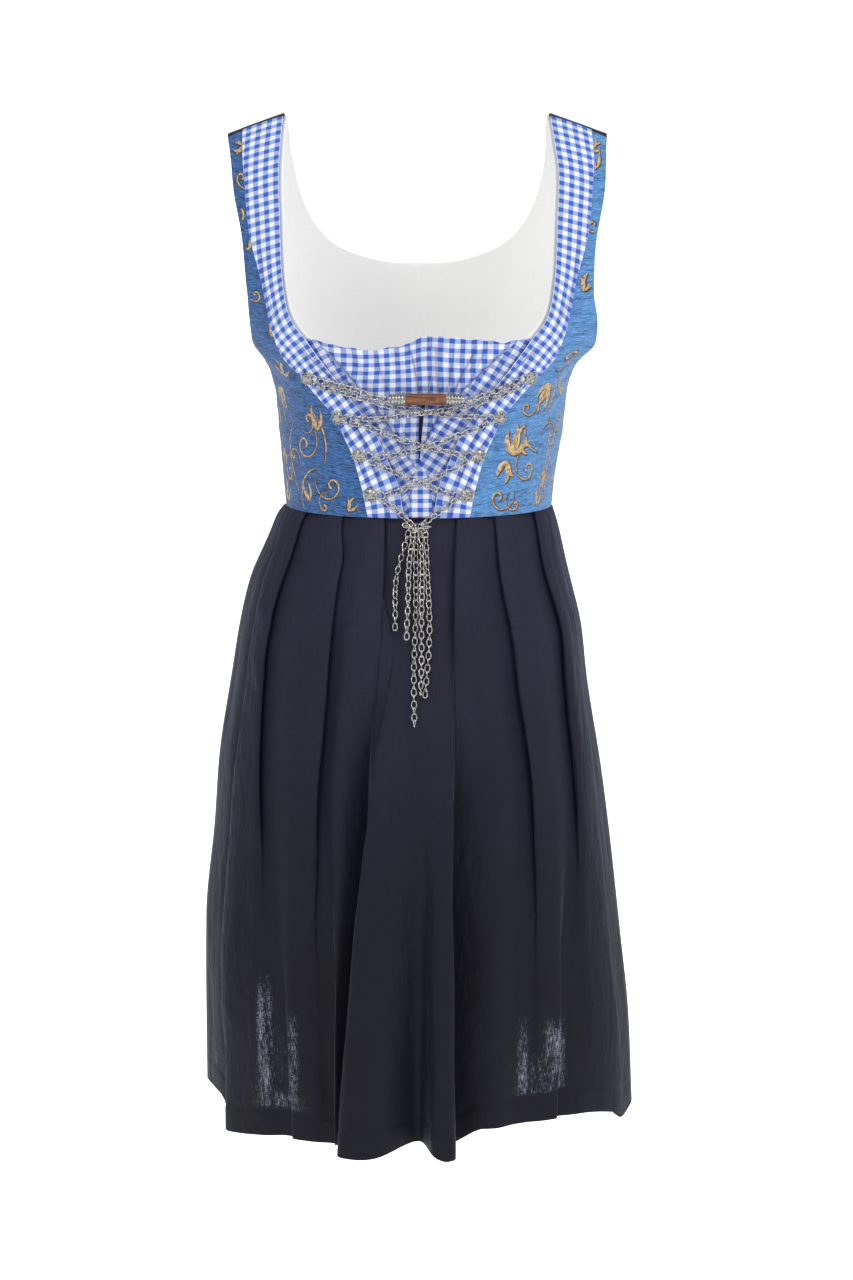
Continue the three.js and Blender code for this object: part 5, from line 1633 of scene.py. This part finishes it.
# The strands of the tassel: x at the top, swing, x and z at the bottom, how far forward, twist, and
# the turn from link to link
strands = [
    (-8.6, -5, -23, -495, 0, 0.5, 0.1),
    (-5, -2, -11, -503, 5.2, 0.0, 0.03),
    (-1.6, -0.6, -4.4, -587, 0, 0.2, -0.04),
    (1.8, 1.6, 1.4, -556, 5.2, -0.4, 0.06),
    (5.6, 4, 6.6, -559, 0, 0.3, -0.05),
]


# Tube of a wire along a line, open or closed into a ring, as a grid of points with its faces
def tube(line, radius, sides, closed):
    line = np.asarray(line, float)
    if closed:
        direction = unit(np.roll(line, -1, axis=0) - np.roll(line, 1, axis=0))
    else:
        direction = unit(np.gradient(line, axis=0))
    helper = np.array([0.13, 0.21, 1.0])
    sideways = unit(np.cross(direction, helper))
    upwards = np.cross(sideways, direction)
    turns = np.linspace(0, 2 * math.pi, sides, endpoint=False)
    radius = np.broadcast_to(radius, len(line))[:, None, None]
    cosine, sine = np.cos(turns)[None, :, None], np.sin(turns)[None, :, None]
    ring = cosine * sideways[:, None] + sine * upwards[:, None]
    points = (line[:, None] + radius * ring).reshape(-1, 3)
    at = np.arange(len(line) * sides).reshape(len(line), sides)
    following = np.roll(at, -1, axis=1)
    if closed:
        nextRow, nextFollowing = np.roll(at, -1, axis=0), np.roll(following, -1, axis=0)
        faces = np.stack([at, nextRow, nextFollowing, following], axis=-1).reshape(-1, 4)
    else:
        faces = np.stack([at[:-1], at[1:], following[1:], following[:-1]], axis=-1).reshape(-1, 4)
    return points, faces


# One link lying along X: a stadium-like ring of wire, slightly twisted as in a curb chain
def linkShape(style):
    t = np.linspace(0, 2 * math.pi, linkStyle["around"], endpoint=False)
    radiusX = style["length"] / 2 - style["wire"]
    radiusY = style["width"] / 2 - style["wire"]
    x = radiusX * np.sign(np.cos(t)) * np.abs(np.cos(t)) ** linkStyle["square"]
    y = radiusY * np.sign(np.sin(t)) * np.abs(np.sin(t)) ** linkStyle["square"]
    z = linkStyle["twist"] * np.sin(2 * t)
    return tube(np.stack([x, y, z], axis=-1), style["wire"], linkStyle["sides"], True)


# Dense smooth line through a few points
def curveThrough(points, count=400):
    points = np.asarray(points, float)[None]
    share = max(2, count // (points.shape[1] - 1))
    return smoothRing(points, [share] * (points.shape[1] - 1))[0]


# Places, directions and sides along a line at even distances, a whole number of links long
def placesAlong(line, pitch, outward):
    lengths = lengthsAlong(line)
    count = max(2, int(round(lengths[-1] / pitch)) + 1)
    at = np.linspace(0, lengths[-1], count)
    centre, ahead, behind = (
        np.stack([np.interp(places, lengths, line[:, i]) for i in range(3)], axis=-1)
        for places in (at, np.minimum(at + 1, lengths[-1]), np.maximum(at - 1, 0)))
    direction = unit(ahead - behind)
    return centre, direction, unit(np.cross(direction, outward))


# Links along a line, each turned about the line by its own angle, joined into one set
def linksAlong(line, style, outward, angles):
    shape, faces = linkShape(style)
    centre, direction, side = placesAlong(line, style["pitch"], outward)
    out = np.cross(side, direction)
    turned = angles(np.arange(len(centre)))[:, None]
    sideways = np.cos(turned) * side + np.sin(turned) * out
    upwards = -np.sin(turned) * side + np.cos(turned) * out
    basis = np.stack([direction, sideways, upwards], axis=1)
    points = centre[:, None] + np.einsum("pi,kij->kpj", shape, basis)
    allFaces = faces[None] + (np.arange(len(centre)) * len(shape))[:, None, None]
    return points.reshape(-1, 3), allFaces.reshape(-1, 4)


# One stretch of the lacing, whose links lie turned to and fro
def makeChainRun(i, route):
    places = [place if len(place) == 3 else (*place, chainLift) for place in route]
    line = curveThrough(frontPoint(places))
    middle = line[len(line) // 2]
    outward = unit(np.array([middle[0] / bodyForm["halfWidth"][0], -1.0, 0.0]))
    angles = lambda k: chainStyle["turn"] * (-1.0) ** k + 0.16 * np.sin(1.9 * k + i)
    points, faces = linksAlong(line, chainStyle, outward, angles)
    onPart(build(f"chainRun{i + 1}", points, faces, "brightSilver"), "silver", f"chain_run_{i + 1}")


# Distance in front of the form at which a strand hangs clear of the skirt's middle
def beforeSkirt(z, clearance):
    drop = np.maximum(0, waistZ - z)
    lift = lookUp(middlePanel["lift"], "drop", "middle", drop) + waistLift(drop)
    return -(lookUp(skirtForm, "drop", "front", drop) + lift + skirtWall / 2 + clearance)


# The hanging chains: strands before the skirt, and the links that they hang from
def makeTassel():
    head = tasselHead
    headY = frontPoint([(head["x"], waistZ, head["lift"])])[0, 1]
    parts = []
    outward = np.array([0.0, -1.0, 0.0])
    for i, (topX, swing, bottomX, bottomZ, forward, twist, turnBy) in enumerate(strands):
        t = np.linspace(0, 1, 60)
        z = mix(head["z"] + 1.5, bottomZ + 2.5, t)
        x = mix(topX, bottomX, t) + swing * np.sin(math.pi * t)
        x = x + 0.5 * np.sin(9 * t + 2 * i)
        y = mix(headY, beforeSkirt(z, 1.6 + strandRadius) - forward, smooth(t, 0, 0.2))
        angles = lambda k: (
            twist + turnBy * k + tasselStyle["turn"] * (-1.0) ** k + 0.2 * np.sin(2.7 * k + i))
        parts.append(linksAlong(np.stack([x, y, z], axis=-1), tasselStyle, outward, angles))
    for k, (x, z) in enumerate(head["links"]):
        line = np.array([[x - 1, headY, z], [x + 1, headY - 0.8 * (k % 2), z - 0.6]])
        angles = lambda n: 0.8 * (-1.0) ** k + n
        parts.append(linksAlong(line, {**tasselStyle, "pitch": head["pitch"]}, outward, angles))
    piece = build("chainTassel", *joined(parts), "brightSilver")
    onPart(piece, "silver", "chain_tassel")


# A lathe of radii along X
def lathe(along, radii, sides):
    turns = np.linspace(0, 2 * math.pi, sides, endpoint=False)
    rings = np.stack([
        np.broadcast_to(np.asarray(along, float)[:, None], (len(along), sides)),
        np.asarray(radii, float)[:, None] * np.cos(turns),
        np.asarray(radii, float)[:, None] * np.sin(turns)], axis=-1)
    at = np.arange(len(along) * sides).reshape(len(along), sides)
    following = np.roll(at, -1, axis=1)
    faces = np.stack([at[:-1], following[:-1], following[1:], at[1:]], axis=-1).reshape(-1, 4)
    return rings.reshape(-1, 3), faces


# A shape made for the right side, mirrored for the left one and moved to its place
def handed(points, faces, side, centre=0):
    return centre + points * np.array([side, 1, 1]), faces if side > 0 else faces[:, ::-1]


# The bar, with rounded ends and a slightly squared section, and its two caps
def makeBar():
    centre = frontPoint([(barStyle["x"], barStyle["z"], barStyle["lift"])])[0]
    half = barStyle["length"] / 2
    rim = np.array([0, 0, 0.35, 1.1])
    along = np.concatenate([rim - half, np.linspace(-half + 2, half - 2, 30), half - rim[::-1]])
    ends = np.array([0.02, 0.86, 0.96, 1])
    radii = np.concatenate([ends, np.ones(30), ends[::-1]]) * barStyle["radius"]
    points, faces = lathe(along, radii, 40)
    around = np.arctan2(points[:, 2], points[:, 1])
    squared = 1 + 0.035 * np.cos(4 * around) + 0.006 * np.sin(points[:, 0] * 0.7)
    points[:, 1:] *= squared[:, None]
    onPart(build("bar", centre + points, faces, "hornGrain"), "horn", "bar")
    for name, side in sides:
        makeCap(name, side, centre)


# A cap of the bar: a coil that narrows outwards round a core, with an eye at its end
def makeCap(name, side, centre):
    style = capStyle
    start = barStyle["length"] / 2 + seamGap
    t = np.linspace(0, 1, 26 * style["coils"])
    radius = mix(style["innerRadius"], style["outerRadius"], t)
    turns = 2 * math.pi * style["coils"] * t
    x = start + style["wire"] + (style["length"] - 2 * style["wire"]) * t
    coil = np.stack([x, radius * np.cos(turns), radius * np.sin(turns)], axis=-1)
    core = lathe([start + at for at in style["coreAt"]], style["coreRadii"], 24)
    angle = np.linspace(0, 2 * math.pi, 16, endpoint=False)
    eyeX, eyeZ = style["eye"] * np.cos(angle), style["eye"] * np.sin(angle)
    ring = np.stack([start + style["eyeAt"] + eyeX, 0 * angle, eyeZ], axis=-1)
    shape = joined([tube(coil, style["wire"], 8, False), core, tube(ring, style["eyeWire"], 6, True)])
    piece = build("cap" + name.title(), *handed(*shape, side, centre), "oldSilver")
    onPart(piece, "silver", "cap_" + name)


# Hooks of curled wire. Loops of each petal: reach, width, height, turn beside the petal. Seat: how far
# the plate and the ring reach over the band, and the gap that is left to it.
hookStyle = {"petals": 7, "loops": [(6.6, 1.9, 0.7, 0), (3.9, 1.5, 1.5, 0.45)], "between": 0.45,
             "tip": 7.1, "wire": 0.55, "ring": 4.3, "ringWire": 0.9, "neckWire": 1.1,
             "plateReach": 7.4, "ringReach": 5.2, "seatGap": 0.45}


# A pierced plate of curled wire with its lacing ring, flat in XY with the ring towards -X
def hookShape(ringShift, seed):
    style = hookStyle
    parts = []
    t = np.linspace(0, 2 * math.pi, 14, endpoint=False)
    for k in range(style["petals"]):
        toPetal = 2 * math.pi * k / style["petals"] + 0.2 * seed
        for reach, width, height, offset in style["loops"]:
            bend = toPetal + offset
            along = 0.42 * reach + 0.56 * reach * 0.5 * (1 - np.cos(t))
            across = width * np.sin(t) + 0.5 * np.sin(2 * t)
            loop = np.stack([along * np.cos(bend) - across * np.sin(bend),
                             along * np.sin(bend) + across * np.cos(bend),
                             height + 0.35 * np.cos(t) + 0 * along], axis=-1)
            parts.append(tube(loop, style["wire"], 6, True))
        between = toPetal + style["between"]
        parts.append(bead(style["tip"] * math.cos(between), style["tip"] * math.sin(between), 0.8, 0.8))
    parts.append(bead(0, 0, 2.0, 1.5))
    parts.append(disc(5.6, 0.25, 0.5))
    ring = [ringShift + style["ring"] * np.cos(t), style["ring"] * np.sin(t), 0 * t + 1.1]
    parts.append(tube(np.stack(ring, axis=-1), style["ringWire"], 8, True))
    neck = [np.linspace(ringShift + style["ring"], -3, 6), np.zeros(6), np.full(6, 1.0)]
    parts.append(tube(np.stack(neck, axis=-1), style["neckWire"], 6, False))
    return joined(parts)


# A small ball of the given radius
def bead(x, y, z, radius):
    around = np.linspace(0, math.pi, 7)
    points, faces = lathe(-radius * np.cos(around), np.maximum(radius * np.sin(around), 0.01), 8)
    return points + np.array([x, y, z]), faces


# A thin round plate, closed
def disc(radius, low, high):
    points, faces = lathe([low, low, high, high], [0.02, radius, radius, 0.02], 20)
    return points[:, [2, 1, 0]] * np.array([-1, 1, 1]), faces


# Point on the outer face of the band's plain form, without its folds
def bandFace(x, z, side):
    return layerPoint(side * angleAt(x, z), z, "front", np.asarray(5.0))


# Places a hook as the part does: tangent to the band, just above its highest point
def makeHook(name, side, i, place):
    plateX, ringX, z = place
    reach = hookStyle["plateReach"]
    middle = bandFace(plateX, z, side)
    across = unit((bandFace(plateX + reach, z, side) - bandFace(ringX - reach / 2, z, side)) * side)
    up = bandFace(plateX, z + reach, side) - bandFace(plateX, z - reach, side)
    normal = unit(np.cross(across, up))
    around = [bandFace(x, z + rise * reach, side) for rise in (-1, 0, 1)
              for x in (plateX + reach, plateX, ringX, ringX - hookStyle["ringReach"])]
    highest = max(float((point - middle) @ normal) for point in around)
    middle = middle + normal * (highest + hookStyle["seatGap"])
    points, faces = handed(*hookShape(ringX - plateX, i), side)
    basis = np.stack([across, np.cross(normal, across), normal])
    piece = build(f"hook{name.title()}{i + 1}", middle + points @ basis, faces, "oldSilver")
    onPart(piece, "silver", f"hook_{name}_{i + 1}")


for i, route in enumerate(chainRoutes):
    makeChainRun(i, route)
makeTassel()
makeBar()
for name, side in sides:
    for i, place in enumerate(hookPlaces):
        makeHook(name, side, i, place)
print("lacing made")


# A flat round floor: rings of points whose radius grows by the square of their number
def makeFloor():
    rings = stageStyle["rings"]
    radius = (stageStyle["radius"] * np.linspace(0.001, 1, rings) ** 2)[:, None]
    turns = np.linspace(0, 2 * math.pi, stageStyle["sides"] + 1)
    height = np.full((rings, len(turns)), float(stageStyle["floorZ"]))
    points = np.stack([radius * np.cos(turns), radius * np.sin(turns), height], axis=-1)
    build("studioFloor", points, gridFaces(rings, len(turns))[:, ::-1], "studio")


# Soft round lights, aimed at the middle of the dress: name, place, size, power and colour, in metres
# and watts. The sky brightens upwards, and the camera sees it white.
lights = [
    ("keyLight", (-1.35, -2.1, 1.6), 1.8, 31, (1.0, 0.99, 0.97)),
    ("fillLight", (1.9, -1.9, 1.2), 2.0, 34, (0.97, 0.985, 1.0)),
    ("backLight", (0.3, 1.5, 1.9), 2.0, 18, (1.0, 1.0, 1.0)),
]
lightTarget = (0, 0, -0.5)
sky = {"low": (0.42, 0.43, 0.45, 1), "high": (1.0, 1.0, 1.0, 1), "seen": (1.9, 1.9, 1.9, 1),
       "strength": 0.58}


def makeLights():
    for name, at, size, power, color in lights:
        data = bpy.data.lights.new(name, "AREA")
        data.shape = "DISK"
        data.size = size
        data.energy = power
        data.color = color
        lamp = bpy.data.objects.new(name, data)
        lamp.location = at
        lamp.rotation_euler = (Vector(lightTarget) - Vector(at)).to_track_quat("-Z", "Y").to_euler()
        bpy.context.scene.collection.objects.link(lamp)


def makeSky():
    world = bpy.data.worlds.new("studioLight")
    world.use_nodes = True
    tree = world.node_tree
    background = tree.nodes["Background"].inputs
    place = node(tree, "TexCoord").outputs["Generated"]
    height = node(tree, "SeparateXYZ", {"Vector": place}).outputs["Z"]
    color = blendColors(tree, ramp(tree, height, -0.1, 0.75), sky["low"], sky["high"])
    seen = node(tree, "LightPath").outputs["Is Camera Ray"]
    feed(tree, background["Color"], blendColors(tree, seen, color, sky["seen"]))
    background["Strength"].default_value = sky["strength"]
    bpy.context.scene.world = world


# The camera of the photo, in millimetres and degrees
cameraStyle = {"at": (7.5, -3200, 60), "pitch": 10.4, "lens": 91.4, "sensor": 36, "far": 50}


def makeCamera():
    data = bpy.data.cameras.new("camera")
    data.lens = cameraStyle["lens"]
    data.sensor_width = cameraStyle["sensor"]
    data.clip_end = cameraStyle["far"]
    camera = bpy.data.objects.new("camera", data)
    camera.location = [value * metre for value in cameraStyle["at"]]
    camera.rotation_euler = (math.radians(90 - cameraStyle["pitch"]), 0, 0)
    bpy.context.scene.collection.objects.link(camera)
    bpy.context.scene.camera = camera
    bpy.context.scene.view_settings.view_transform = "Standard"


makeFloor()
makeLights()
makeSky()
makeCamera()
print("studio made")
